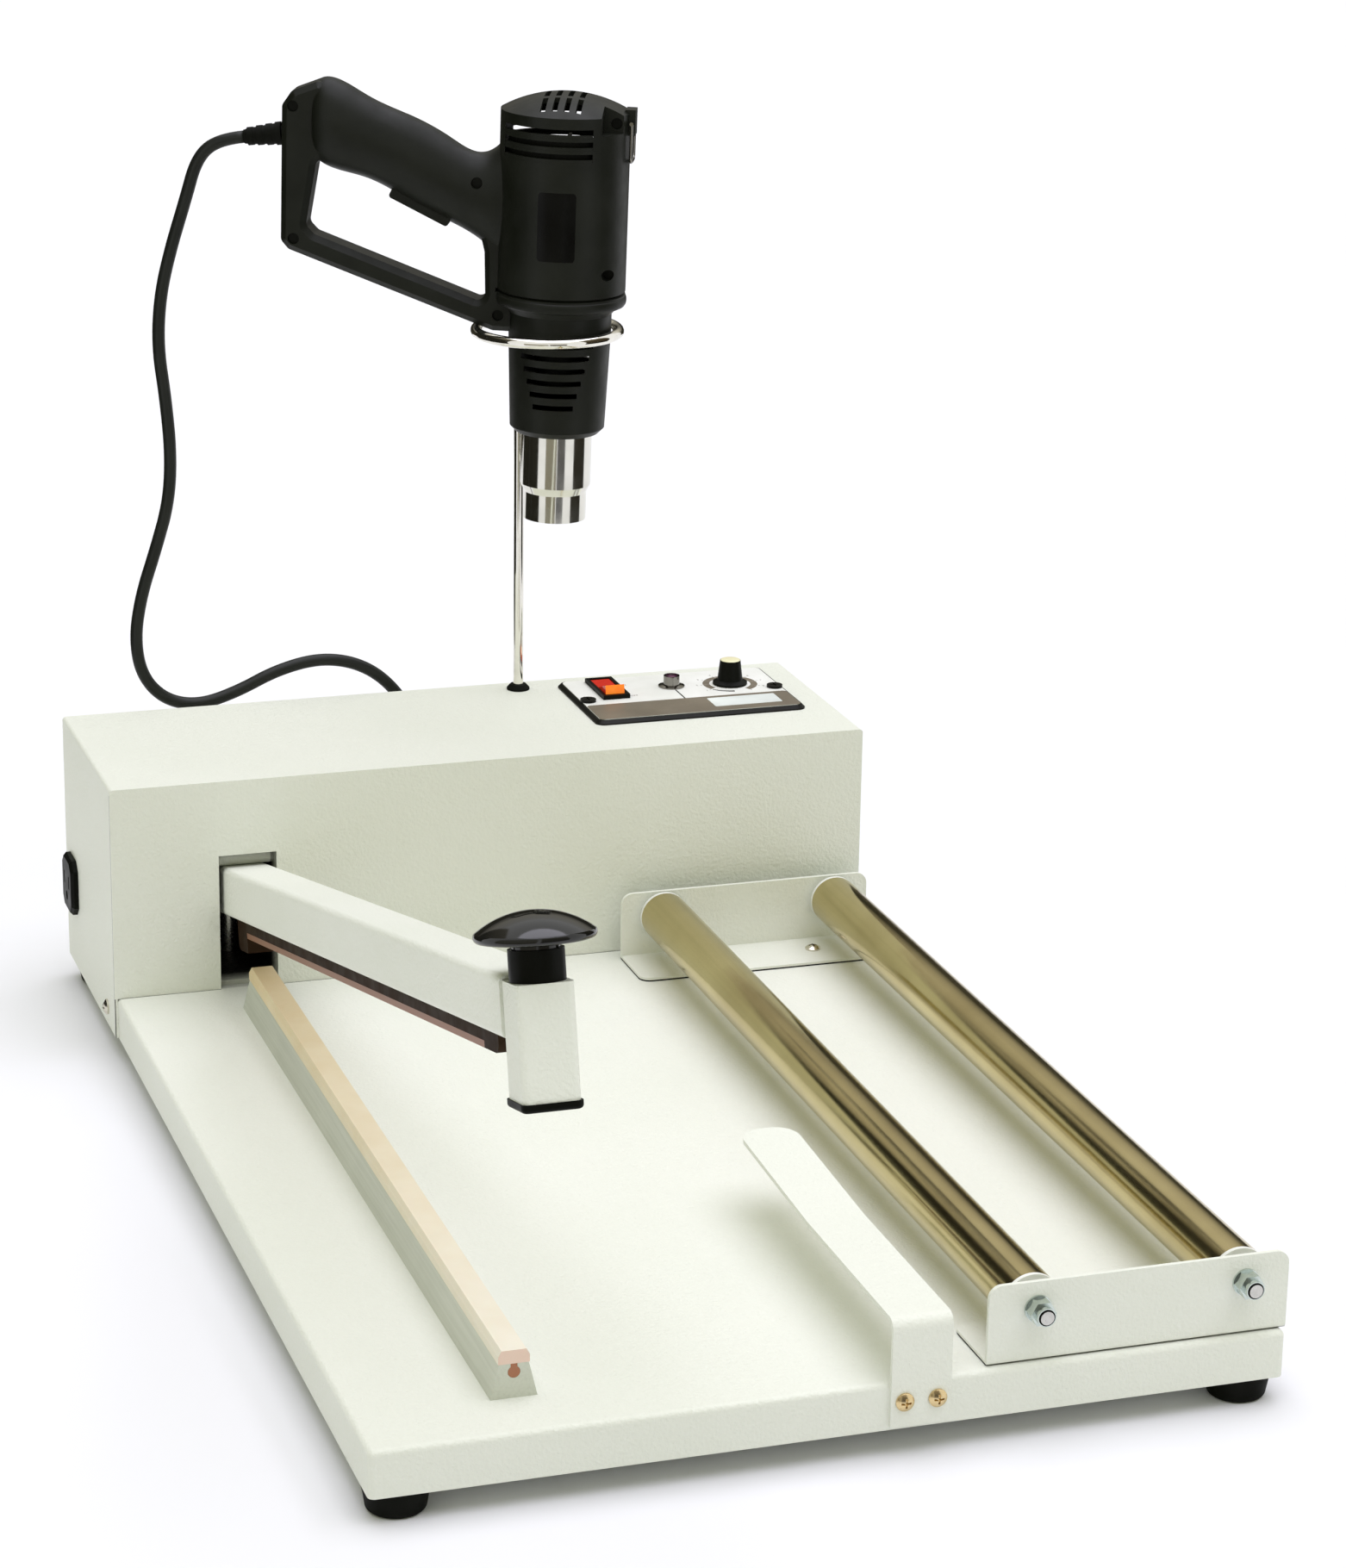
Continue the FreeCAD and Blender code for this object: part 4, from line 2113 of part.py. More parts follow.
def cord_coil():
    steps = round(COIL_WHOLE * 4)
    spots = [coil_point(COIL_WHOLE * index / steps) for index in range(steps + 1)]
    stub = 2 * float(D.cord_radius)
    begin = coil_begin()[0]
    finish = coil_finish()[0]
    edges = [Part.LineSegment(begin, spots[0][0]).toShape()]
    for (first, first_way), (last, last_way) in zip(spots, spots[1:]):
        edges += biarc(first, first_way, last, last_way)
    edges.append(Part.LineSegment(spots[-1][0], finish).toShape())
    count = 90 * steps
    line = [coil_point(COIL_WHOLE * index / count)[0] for index in range(count + 1)]
    apart = count // steps * 2
    gap = min(
        (line[index] - line[other]).Length
        for index in range(0, count + 1, 3)
        for other in range(index + apart, count + 1, 3)
    )
    print(f"cord_coil: least gap between its turns {gap - stub:.2f}")
    return node("cord_coil", tube("cord_coil", edges, spots[0][1]))


def coil_tie():
    """A band round the coil's four strands on the side of the machine, with its lock on top."""
    middle_x = right - D.coil_from_right + coil_outer
    slack = D.cord_radius + D.tie_gap
    far = back + D.coil_setback - D.coil_inner_radius - coil_pitch / 4 + slack
    near_side = far - coil_pitch - 2 * slack
    wall = D.tie_thickness
    high = wall + coil_pitch + 2 * slack
    half = D.tie_width / 2
    lock = D.tie_head / 2
    across = (middle_x - half, middle_x + half)
    band = box("tie_band", across, (near_side - wall, far + wall), (0, high + wall))
    head = box(
        "tie_lock",
        (middle_x - lock, middle_x + lock),
        (far - D.tie_head, far),
        (high, high + D.tie_head_height),
    )
    reach = lock + OVERRUN
    hole = box("tie_hole", (middle_x - reach, middle_x + reach), (near_side, far), (wall, high))
    return node("coil_tie", cut("coil_tie", fuse("tie_whole", [band, head]), [hole]))


def coil_begin():
    """Where the hanging cord meets the coil's first straight stub, and the way it runs there."""
    spot, way = coil_point(0)
    return spot - way * (2 * float(D.cord_radius)), way


def coil_finish():
    """Where the coil's straight end meets the plug, and the way it runs there."""
    spot, way = coil_point(COIL_WHOLE)
    return spot + way * float(D.coil_lead), way


CORD_ROUTE = [
    (-326.5, 16.0, 402.0), (-334.5, 15.7, 378.0), (-341.0, 15.0, 353.0), (-343.0, 14.5, 326.0),
    (-339.4, 14.5, 298.0), (-337.2, 14.5, 268.0), (-339.0, 14.5, 242.0), (-346.5, 14.5, 217.0),
    (-355.0, 14.5, 192.0), (-359.0, 14.5, 168.0), (-355.5, 14.5, 147.0), (-343.0, 14.5, 133.0),
    (-325.0, 14.0, 129.0), (-304.0, 14.0, 135.0),
    (-282.0, 14.0, 145.5), (-257.0, 14.5, 150.5), (-234.0, 14.5, 145.0), (-216.0, 15.5, 130.0),
    (-204.0, 16.5, 108.0), (-197.0, 17.5, 82.0), (-193.5, 19.0, 56.0), (-192.0, 21.5, 32.0),
]
FIRST_RUN = 13.5
SECOND_RUN = 15.0
FLOOR_RUN = 21.0


def cord_points():
    """Corners of the hanging cord, from the strain relief's tip down to the coil on the table."""
    frame = GUN_FRAME.multiply(RELIEF_FRAME)
    tip = frame.multVec(FreeCAD.Vector(0, 0, D.relief_length))
    way = frame.Rotation.multVec(FreeCAD.Vector(0, 0, 1))
    origin = FreeCAD.Vector(right, back, floor)
    route = [origin + FreeCAD.Vector(*point) for point in CORD_ROUTE]
    first = tip + way * FIRST_RUN
    ahead = (route[1] - route[0]).normalize()
    second = first + (way + ahead).normalize() * SECOND_RUN
    last, last_way = coil_begin()
    landing = last - last_way * FLOOR_RUN
    above = landing - (last_way * 0.92 - FreeCAD.Vector(0, 0, 0.39)) * FLOOR_RUN
    drop = above - (last_way * 0.68 - FreeCAD.Vector(0, 0, 0.73)) * FLOOR_RUN
    return [tip, first, second] + route + [drop, above, landing, last]


def cord_hanging():
    points = cord_points()
    edges = []
    start = points[0]
    radii = []
    for before, corner, after in zip(points, points[1:], points[2:]):
        arriving = (corner - before).normalize()
        leaving = (after - corner).normalize()
        run = 0.45 * min((corner - before).Length, (after - corner).Length)
        turn = arriving.getAngle(leaving)
        radii.append(run / math.tan(turn / 2))
        first = corner - arriving * run
        last = corner + leaving * run
        edges.append(Part.LineSegment(start, first).toShape())
        edges.append(bend(first, corner, last))
        start = last
    edges.append(Part.LineSegment(start, points[-1]).toShape())
    print("cord_hanging: radii", " ".join(f"{radius:.0f}" for radius in radii))
    return node("cord_hanging", tube("cord_hanging", edges, points[1] - points[0]))


def mains_plug():
    """The plug at the coil's end: a neck, a rounded body on the table, two blades and an earth pin."""
    spot, way = coil_finish()
    half_width = D.plug_width / 2
    half_height = Size(spot.z, repr(spot.z))
    body_low = D.plug_neck
    body_high = D.plug_neck + D.plug_length
    body = prism("plug_body", "XZ_Plane", rectangle(
        -half_width, half_width, -half_height, half_height
    ), body_low, body_high)
    dressed(body, "Fillet", D.plug_round, lambda edge: runs(edge, "y"))
    neck = rod("plug_neck", "y", D.plug_neck_radius, (0, 0), 0, body_low)
    parts = [body, neck]
    tip = body_high + D.blade_length
    for side in (-1, 1):
        blade_x = side * D.blade_spacing / 2
        parts.append(box(
            f"plug_blade_{side + 1}",
            (blade_x - D.blade_thickness / 2, blade_x + D.blade_thickness / 2),
            (body_high, tip),
            (-D.blade_width * 0.2, D.blade_width * 0.8),
        ))
    parts.append(rod("plug_earth", "y", D.blade_width * 0.37, (0, -D.blade_width), body_high, tip))
    plug = fuse("mains_plug", parts)
    yaw = math.degrees(math.atan2(-way.x, way.y))
    plug.Placement = FreeCAD.Placement(spot, FreeCAD.Rotation(FreeCAD.Vector(0, 0, 1), yaw))
    return node("mains_plug", plug)


# Build

drills = screw_drills()
base_tray(drills)
rubber_feet()
machine_screws()
housing_cover(drills)
back_panel()
outlet_socket()
mains_inlet()
sealing_bar(drills)
silicone_strip()
roller_bracket("front_roller_bracket", front_plate, 1, drills)
roller_bracket("rear_roller_bracket", rear_plate, -1, drills)
roller_axles()
axle_nuts()
roller("left")
roller("right")
film_guide(drills)
panel_plate()
panel_label()
panel_screws()
switch_bezel()
switch_rocker()
indicator_lamp()
timer_pot()
timer_knob()
stand_rod()
rod_grommet()
rod_socket()
arm_tube()
arm_post()
post_end_cap()
knob_sleeve()
handle_knob()
jaw_rail()
heating_element()
ptfe_tape()
element_blocks()
pivot_bracket()
pivot_shaft()
return_spring()
transformer()
timer_board()
microswitch()
shell_parts()
gun_screws()
gun_collar()
gun_nozzle()
gun_motor()
gun_fan()
gun_heater()
gun_trigger()
gun_hook()
gun_strain_relief()
cord_coil()
coil_tie()
cord_hanging()
mains_plug()
doc.recompute()

failed = [item.Label for item in doc.Objects if {"Invalid", "Error"} & set(item.State)]
for label, solid in nodes.items():
    if solid.Shape.isNull() or not solid.Shape.isValid():
        failed.append(label)
if failed:
    raise RuntimeError("not built: " + ", ".join(failed))

os.makedirs("parts", exist_ok=True)
for label, solid in nodes.items():
    solid.Shape.exportStep(f"parts/{label}.step")
print(len(nodes), "sub-parts written")
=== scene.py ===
import json
import math
import bmesh
import bpy
from mathutils import Matrix, Vector


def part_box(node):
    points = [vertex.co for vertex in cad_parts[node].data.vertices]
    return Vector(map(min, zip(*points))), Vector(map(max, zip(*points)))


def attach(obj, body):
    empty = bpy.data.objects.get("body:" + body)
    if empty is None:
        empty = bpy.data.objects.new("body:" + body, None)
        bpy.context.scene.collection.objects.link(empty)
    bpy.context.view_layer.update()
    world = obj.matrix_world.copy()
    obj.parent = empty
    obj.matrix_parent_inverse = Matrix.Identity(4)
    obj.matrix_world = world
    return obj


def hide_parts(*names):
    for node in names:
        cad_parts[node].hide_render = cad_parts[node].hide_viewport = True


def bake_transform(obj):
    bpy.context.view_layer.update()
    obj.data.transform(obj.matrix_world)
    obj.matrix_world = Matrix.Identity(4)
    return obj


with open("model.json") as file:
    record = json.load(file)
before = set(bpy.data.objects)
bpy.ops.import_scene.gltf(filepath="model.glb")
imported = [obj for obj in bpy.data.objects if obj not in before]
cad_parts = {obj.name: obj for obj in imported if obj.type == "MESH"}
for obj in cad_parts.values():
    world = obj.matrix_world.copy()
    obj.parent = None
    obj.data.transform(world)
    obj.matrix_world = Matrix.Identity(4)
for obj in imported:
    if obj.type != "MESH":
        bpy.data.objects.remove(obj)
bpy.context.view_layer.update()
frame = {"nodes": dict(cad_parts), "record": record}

# Bench film sealer: materials for every solid, the gun's cord, the panel's print and the small trim.

NODES = frame["nodes"]
scene = bpy.context.scene


# Camera

camera_data = bpy.data.cameras.new("camera")
camera_data.sensor_width = 36.0
camera_data.sensor_fit = "AUTO"
camera_data.lens = 95.41
camera_data.clip_end = 30.0
camera = bpy.data.objects.new("camera", camera_data)
scene.collection.objects.link(camera)
scene.camera = camera
RIGHT = (0.9508964, -0.3091490, 0.0149283)
UP = (0.0807259, 0.2942861, 0.9523020)
BACK = (-0.2987964, -0.9043354, 0.3047919)
PLACE = (-0.55484, -1.76232, 0.78695)
camera.matrix_world = Matrix([(*row, 1.0 if index == 3 else 0.0) for index, row in enumerate(
    (RIGHT, UP, BACK, PLACE)
)]).transposed()


# Shader tools

def material(name):
    made = bpy.data.materials.new(name)
    made.use_nodes = True
    return made, made.node_tree, made.node_tree.nodes["Principled BSDF"]


def coordinates(tree, stretch=(1.0, 1.0, 1.0)):
    """Object coordinates in metres, stretched along the axes."""
    source = tree.nodes.new("ShaderNodeTexCoord")
    mapping = tree.nodes.new("ShaderNodeMapping")
    mapping.inputs["Scale"].default_value = stretch
    tree.links.new(source.outputs["Object"], mapping.inputs["Vector"])
    return mapping.outputs["Vector"]


def noise(tree, scale, detail=2.0, stretch=(1.0, 1.0, 1.0)):
    texture = tree.nodes.new("ShaderNodeTexNoise")
    texture.inputs["Scale"].default_value = scale
    texture.inputs["Detail"].default_value = detail
    tree.links.new(coordinates(tree, stretch), texture.inputs["Vector"])
    return texture.outputs["Fac"]


def tint(tree, value, stops):
    """A colour from a value through a ramp of (position, colour) stops."""
    ramp = tree.nodes.new("ShaderNodeValToRGB")
    elements = ramp.color_ramp.elements
    for _ in stops[2:]:
        elements.new(0.5)
    for element, (spot, colour) in zip(elements, stops):
        element.position = spot
        element.color = (*colour, 1.0)
    tree.links.new(value, ramp.inputs["Fac"])
    return ramp.outputs["Color"]


def spread(tree, value, low, high, start=0.3, end=0.7):
    """A value spread over a new range."""
    node = tree.nodes.new("ShaderNodeMapRange")
    for socket, number in (("From Min", start), ("From Max", end), ("To Min", low), ("To Max", high)):
        node.inputs[socket].default_value = number
    tree.links.new(value, node.inputs["Value"])
    return node.outputs["Result"]


def relief(tree, shader, layers):
    """Bumps laid over each other: (value, strength, depth in metres)."""
    normal = None
    for value, strength, depth in layers:
        bump = tree.nodes.new("ShaderNodeBump")
        bump.inputs["Strength"].default_value = strength
        bump.inputs["Distance"].default_value = depth
        tree.links.new(value, bump.inputs["Height"])
        if normal is not None:
            tree.links.new(normal, bump.inputs["Normal"])
        normal = bump.outputs["Normal"]
    tree.links.new(normal, shader.inputs["Normal"])


def axis_value(tree, axis):
    """One object coordinate as a value, in metres."""
    split = tree.nodes.new("ShaderNodeSeparateXYZ")
    tree.links.new(coordinates(tree), split.inputs["Vector"])
    return split.outputs[axis]


def facing(tree, axis):
    """One part of the surface's normal in the object's own axes."""
    source = tree.nodes.new("ShaderNodeTexCoord")
    split = tree.nodes.new("ShaderNodeSeparateXYZ")
    tree.links.new(source.outputs["Normal"], split.inputs["Vector"])
    return split.outputs[axis]


def blended(tree, share, first, second):
    mix = tree.nodes.new("ShaderNodeMix")
    mix.data_type = "RGBA"
    tree.links.new(share, mix.inputs["Factor"])
    for socket, colour in (("A", first), ("B", second)):
        target = next(item for item in mix.inputs if item.name == socket and item.type == "RGBA")
        if isinstance(colour, tuple):
            target.default_value = (*colour, 1.0)
        else:
            tree.links.new(colour, target)
    return next(item for item in mix.outputs if item.type == "RGBA")


def calculated(tree, operation, *values):
    """The result of a sum on values and plain numbers."""
    node = tree.nodes.new("ShaderNodeMath")
    node.operation = operation
    for socket, value in zip(node.inputs, values):
        if isinstance(value, (int, float)):
            socket.default_value = value
        else:
            tree.links.new(value, socket)
    return node.outputs["Value"]


def within(tree, axis, low, high):
    """One where a coordinate lies between two places, otherwise nought."""
    return calculated(tree, "COMPARE", axis_value(tree, axis), (low + high) / 2, (high - low) / 2)


def within_box(tree, low, high):
    """One inside a box, otherwise nought."""
    share = within(tree, "X", low[0], high[0])
    for index, axis in ((1, "Y"), (2, "Z")):
        share = calculated(tree, "MULTIPLY", share, within(tree, axis, low[index], high[index]))
    return share


# Materials

SHEET = 0.0015
SEAM = 0.0004
SLOT_HALF = 0.0150
STOP_BAR = 0.0245
cover_low, cover_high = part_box("housing_cover")
arm_low, arm_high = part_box("arm_tube")
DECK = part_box("base_tray")[1][2]
WALL = cover_low[1]
SEAL_LINE = (arm_low[0] + arm_high[0]) / 2


def painted_shade_room(tree):
    """Painted shade inside the housing: nought outside, rising to one a little way behind its front wall."""
    room_low = (cover_low[0] + SHEET / 2, WALL + SHEET / 2, DECK - SEAM)
    room_high = (cover_high[0] - SHEET / 2, cover_high[1] - SHEET / 2, cover_high[2] - SHEET / 2)
    depth = spread(tree, axis_value(tree, "Y"), 0.25, 1.0, WALL + SHEET, WALL + 0.016)
    return calculated(tree, "MULTIPLY", within_box(tree, room_low, room_high), depth)


def painted_shade_room_and_seams(tree):
    """Painted shade in the housing's room, and painted shade lines along the seams where its front wall meets
    the deck and the sides.
    """
    sill = within_box(tree, (cover_low[0], WALL - SEAM, DECK - SEAM), (cover_high[0], WALL, DECK + SEAM))
    slot = within(tree, "X", SEAL_LINE - SLOT_HALF, SEAL_LINE + SLOT_HALF)
    sill = calculated(tree, "MULTIPLY", sill, calculated(tree, "SUBTRACT", 1.0, slot))
    edge = within(tree, "Y", WALL + SHEET - SEAM, WALL + SHEET + SEAM / 3)
    aside = calculated(tree, "ABSOLUTE", axis_value(tree, "X"))
    aside = calculated(tree, "GREATER_THAN", aside, cover_high[0] - SEAM)
    below_roof = calculated(tree, "LESS_THAN", axis_value(tree, "Z"), cover_high[2] - 2 * SHEET)
    corner = calculated(tree, "MULTIPLY", calculated(tree, "MULTIPLY", edge, aside), below_roof)
    skirt = within(tree, "Y", WALL - SEAM / 4, WALL + SEAM / 4)
    skirt = calculated(tree, "MULTIPLY", calculated(tree, "MULTIPLY", skirt, aside),
                       calculated(tree, "LESS_THAN", axis_value(tree, "Z"), DECK))
    lines = calculated(tree, "MAXIMUM", calculated(tree, "MAXIMUM", sill, corner), skirt)
    return calculated(tree, "MAXIMUM", painted_shade_room(tree), lines)


def painted_shade_room_but_bar(tree):
    """Painted shade in the housing's room, without the arm's stop bar behind the slot."""
    near = (SEAL_LINE - SLOT_HALF + SHEET, WALL, DECK + STOP_BAR)
    far = (SEAL_LINE + SLOT_HALF - SHEET, WALL + 0.0175, cover_high[2])
    return calculated(tree, "SUBTRACT", painted_shade_room(tree), within_box(tree, near, far))


def foot_shade_line(tree):
    """A painted shade line where a bracket stands on the deck."""
    return within(tree, "Z", DECK - SEAM, DECK + 2 * SEAM)


def paint(name, shade=None):
    """White powder coat with a leathery relief, dark where a shade says so."""
    made, tree, shader = material(name)
    coat = tint(tree, noise(tree, 7.0, 3.0), [(0.3, (0.820, 0.840, 0.770)), (0.7, (0.850, 0.865, 0.805))])
    if shade:
        coat = blended(tree, shade(tree), coat, (0.004, 0.004, 0.003))
    tree.links.new(coat, shader.inputs["Base Color"])
    peel = noise(tree, 620.0, 2.0)
    fine = noise(tree, 1500.0, 2.0)
    tree.links.new(spread(tree, peel, 0.40, 0.56), shader.inputs["Roughness"])
    relief(tree, shader, [(peel, 0.75, 0.0007), (fine, 0.12, 0.0001)])
    shader.inputs["Specular IOR Level"].default_value = 0.3
    return made


def plastic(name, colour, rough, grain=1400.0, depth=0.00008, gloss=0.5):
    """Moulded plastic or rubber with a fine grain and faint wear."""
    made, tree, shader = material(name)
    lighter = tuple(min(1.0, part * 1.35 + 0.004) for part in colour)
    cloudy = noise(tree, 35.0, 4.0)
    tree.links.new(tint(tree, cloudy, [(0.3, colour), (0.75, lighter)]), shader.inputs["Base Color"])
    wear_marks = noise(tree, 90.0, 3.0)
    tree.links.new(spread(tree, wear_marks, rough * 0.85, rough * 1.15), shader.inputs["Roughness"])
    relief(tree, shader, [(noise(tree, grain, 2.0), 0.35, depth)])
    shader.inputs["Specular IOR Level"].default_value = gloss
    return made


def metal(name, dark, light, rough, stretch=(1, 1, 1), scale=300.0, depth=0.00002, streak=0.45, bare=1.0):
    """Metal with drawn or brushed lines along the axis that is stretched least."""
    made, tree, shader = material(name)
    shader.inputs["Metallic"].default_value = bare
    lines = noise(tree, scale, 4.0, stretch)
    broad = noise(tree, 14.0, 3.0)
    base = tint(tree, broad, [(0.3, dark), (0.7, light)])
    worn = tuple(part * 0.82 for part in dark)
    streaks = spread(tree, lines, 0.0, streak, 0.45, 0.72)
    tree.links.new(blended(tree, streaks, base, worn), shader.inputs["Base Color"])
    tree.links.new(spread(tree, lines, rough * 0.75, rough * 1.35), shader.inputs["Roughness"])
    relief(tree, shader, [(lines, 0.25, depth)])
    return made


def silicone():
    """Cream silicone, paler and pinker towards its front, with a copper core in its cut front end."""
    made, tree, shader = material("silicone_rubber")
    low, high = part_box("silicone_strip")
    grain = noise(tree, 40.0, 3.0)
    rear = tint(tree, grain, [(0.3, (0.80, 0.645, 0.39)), (0.7, (0.86, 0.725, 0.48))])
    fore = tint(tree, grain, [(0.3, (0.890, 0.825, 0.700)), (0.7, (0.920, 0.870, 0.765))])
    body = blended(tree, spread(tree, axis_value(tree, "Y"), 0.0, 1.0, low[1], high[1]), fore, rear)
    core = calculated(tree, "LESS_THAN", axis_value(tree, "Z"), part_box("sealing_bar")[1][2])
    end = blended(tree, core, (0.87, 0.66, 0.57), (0.42, 0.17, 0.09))
    cut_end = spread(tree, facing(tree, "Y"), 1.0, 0.0, -0.95, -0.6)
    tree.links.new(blended(tree, cut_end, body, end), shader.inputs["Base Color"])
    tree.links.new(spread(tree, noise(tree, 250.0, 2.0), 0.42, 0.6), shader.inputs["Roughness"])
    shader.inputs["Subsurface Weight"].default_value = 0.08
    shader.inputs["Subsurface Radius"].default_value = (0.004, 0.002, 0.001)
    relief(tree, shader, [(noise(tree, 220.0, 2.0, (1.0, 0.08, 1.0)), 0.2, 0.0001)])
    return made


def tape():
    """Brown release tape: a fine plain weave with a copper cast."""
    made, tree, shader = material("release_tape")
    waves = []
    for direction in ("X", "Y"):
        wave = tree.nodes.new("ShaderNodeTexWave")
        wave.bands_direction = direction
        wave.inputs["Scale"].default_value = 420.0
        tree.links.new(coordinates(tree), wave.inputs["Vector"])
        waves.append(wave.outputs["Fac"])
    weave = calculated(tree, "MULTIPLY", *waves)
    tree.links.new(
        tint(tree, weave, [(0.1, (0.200, 0.072, 0.030)), (0.9, (0.36, 0.145, 0.066))]),
        shader.inputs["Base Color"],
    )
    tree.links.new(spread(tree, weave, 0.34, 0.5, 0.0, 1.0), shader.inputs["Roughness"])
    relief(tree, shader, [(weave, 0.3, 0.00006)])
    return made


def rocker_plastic():
    """Clear tinted rocker: orange with a painted glow of light at its raised end, darker red as painted shade
    at the other end and along its left flank.
    """
    made, tree, shader = material("rocker_lens")
    low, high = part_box("switch_rocker")
    middle = (low[1] + high[1]) / 2
    behind = spread(tree, axis_value(tree, "Y"), 0.0, 1.0, middle - 0.0012, middle + 0.0002)
    flank = calculated(tree, "LESS_THAN", facing(tree, "X"), -0.7)
    red = calculated(tree, "MAXIMUM", behind, flank)
    lit = tint(tree, noise(tree, 160.0, 2.0), [(0.3, (0.92, 0.19, 0.01)), (0.7, (0.97, 0.30, 0.02))])
    tree.links.new(blended(tree, red, lit, (0.60, 0.030, 0.020)), shader.inputs["Base Color"])
    tree.links.new(spread(tree, noise(tree, 400.0, 2.0), 0.14, 0.24), shader.inputs["Roughness"])
    # Emission is painted light: a strong orange glow at the raised end, and a faint red where the shade is
    # painted.
    tree.links.new(blended(tree, red, (1.0, 0.20, 0.01), (0.25, 0.01, 0.0)), shader.inputs["Emission Color"])
    shader.inputs["Emission Strength"].default_value = 0.45
    shader.inputs["Coat Weight"].default_value = 0.15
    shader.inputs["Specular IOR Level"].default_value = 0.25
    relief(tree, shader, [(noise(tree, 700.0, 2.0), 0.1, 0.00005)])
    return made


def nozzle_plate():
    """Chrome, black above a line just over the collar's lower edge."""
    made = metal("nozzle_chrome", (0.70, 0.69, 0.62), (0.80, 0.79, 0.73), 0.10, scale=90.0, depth=4e-6)
    tree = made.node_tree
    shader = tree.nodes["Principled BSDF"]
    bright = shader.inputs["Base Color"].links[0].from_socket
    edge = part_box("gun_collar")[0][2]
    above_collar_edge = calculated(tree, "GREATER_THAN", axis_value(tree, "Z"), edge + 0.0008)
    tree.links.new(blended(tree, above_collar_edge, bright, (0.010, 0.010, 0.009)), shader.inputs["Base Color"])
    return made


def screw_plate():
    """Plated screws: brassy at the film guide in front, clear elsewhere."""
    made = metal("screw_plating", (0.60, 0.56, 0.46), (0.76, 0.72, 0.62), 0.22, scale=260.0, streak=0.3)
    tree = made.node_tree
    shader = tree.nodes["Principled BSDF"]
    clear = shader.inputs["Base Color"].links[0].from_socket
    fore = calculated(tree, "LESS_THAN", axis_value(tree, "Y"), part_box("film_guide")[0][1] + 0.01)
    tree.links.new(blended(tree, fore, clear, (0.72, 0.56, 0.30)), shader.inputs["Base Color"])
    return made


PAINT = paint("powder_coat")
# Housing, tray and back panel: white paint with painted shade inside and painted shade lines in the seams.
HOUSING = paint("powder_coat_housing_shaded", painted_shade_room_and_seams)
# Pivot bracket: white paint, painted dark as shade where it stands inside the housing.
PAINT_SHADED_INSIDE = paint("powder_coat_shaded_inside", painted_shade_room_but_bar)
# Roller brackets: white paint with a painted shade line at their foot.
PAINT_WITH_FOOT_SHADE = paint("powder_coat_bracket_foot_shade", foot_shade_line)
RUBBER = plastic("black_rubber", (0.0034, 0.0038, 0.0024), 0.60, 900.0, 0.0001, 0.06)
CORD = plastic("cord_sheath", (0.0085, 0.0098, 0.0075), 0.40, 700.0, 0.00006, 0.24)
BLACK = plastic("black_plastic", (0.0034, 0.0038, 0.0024), 0.42, 1300.0, 0.00006, 0.07)
SHELL = plastic("gun_shell_plastic", (0.0054, 0.0064, 0.0034), 0.44, 1500.0, 0.0001, 0.19)
GLOSS = plastic("polished_black", (0.005, 0.005, 0.004), 0.09, 300.0, 0.00001, 0.5)
PLATE = plastic("panel_black", (0.0060, 0.0060, 0.0042), 0.36, 1100.0, 0.00005, 0.14)
SCREWS = screw_plate()
NUT = metal("clear_zinc", (0.50, 0.57, 0.53), (0.72, 0.78, 0.74), 0.20, scale=240.0)
ALUMINIUM = metal("extruded_aluminium", (0.62, 0.64, 0.56), (0.70, 0.72, 0.64), 0.5, (1, 0.02, 1), 700.0,
                  streak=0.15, bare=0.45)
TUBE = metal("roller_tube", (0.48, 0.395, 0.190), (0.62, 0.53, 0.275), 0.17, (1, 0.012, 1), 420.0,
             streak=0.2)
STEEL = metal("drawn_steel", (0.55, 0.54, 0.51), (0.68, 0.67, 0.64), 0.26, (1, 0.05, 1), 400.0)
INNER_STEEL = metal("dark_steel", (0.05, 0.05, 0.045), (0.09, 0.09, 0.08), 0.45, scale=200.0)
CHROME = metal("chrome_plate", (0.76, 0.74, 0.67), (0.86, 0.84, 0.78), 0.07, scale=90.0, depth=4e-6)
LAMP_CHROME = metal("lamp_chrome", (0.20, 0.19, 0.17), (0.34, 0.33, 0.30), 0.10, scale=90.0, depth=4e-6)
NOZZLE = nozzle_plate()
SILICONE = silicone()
TAPE = tape()
ROCKER = rocker_plastic()
NYLON = plastic("white_nylon", (0.78, 0.79, 0.75), 0.38, 900.0, 0.00003, 0.4)
# Jaw rail and element blocks: dark brown, their darkness partly their own colour and partly painted shade for
# the shadow under the arm.
RAIL = plastic("jaw_rail_brown", (0.026, 0.014, 0.007), 0.60, 700.0, 0.00004, 0.05)
LABEL = plastic("panel_face", (0.84, 0.85, 0.82), 0.40, 800.0, 0.00002, 0.4)
NICHROME = metal("resistance_band", (0.42, 0.40, 0.38), (0.52, 0.50, 0.48), 0.30, (1, 0.03, 1), 500.0)
WINDING = plastic("taped_winding", (0.42, 0.19, 0.06), 0.35, 500.0, 0.0001)
BOARD = plastic("circuit_board", (0.035, 0.14, 0.055), 0.38, 600.0, 0.00005)
TAUPE = plastic("taupe_print", (0.160, 0.135, 0.100), 0.42, 900.0, 0.00002, 0.35)
INK = plastic("black_print", (0.016, 0.015, 0.013), 0.40, 900.0, 0.00002, 0.3)
GREY = plastic("grey_print", (0.34, 0.33, 0.31), 0.42, 900.0, 0.00002)
BLANK = plastic("blank_plate", (0.70, 0.74, 0.74), 0.34, 900.0, 0.00002)
IVORY = plastic("ivory_cap", (0.86, 0.80, 0.52), 0.38, 900.0, 0.00003)
LENS = plastic("lamp_lens", (0.14, 0.045, 0.10), 0.08, 500.0, 0.00001, 0.6)
STICKER = plastic("gloss_sticker", (0.0016, 0.0016, 0.0012), 0.24, 700.0, 0.00001, 0.10)

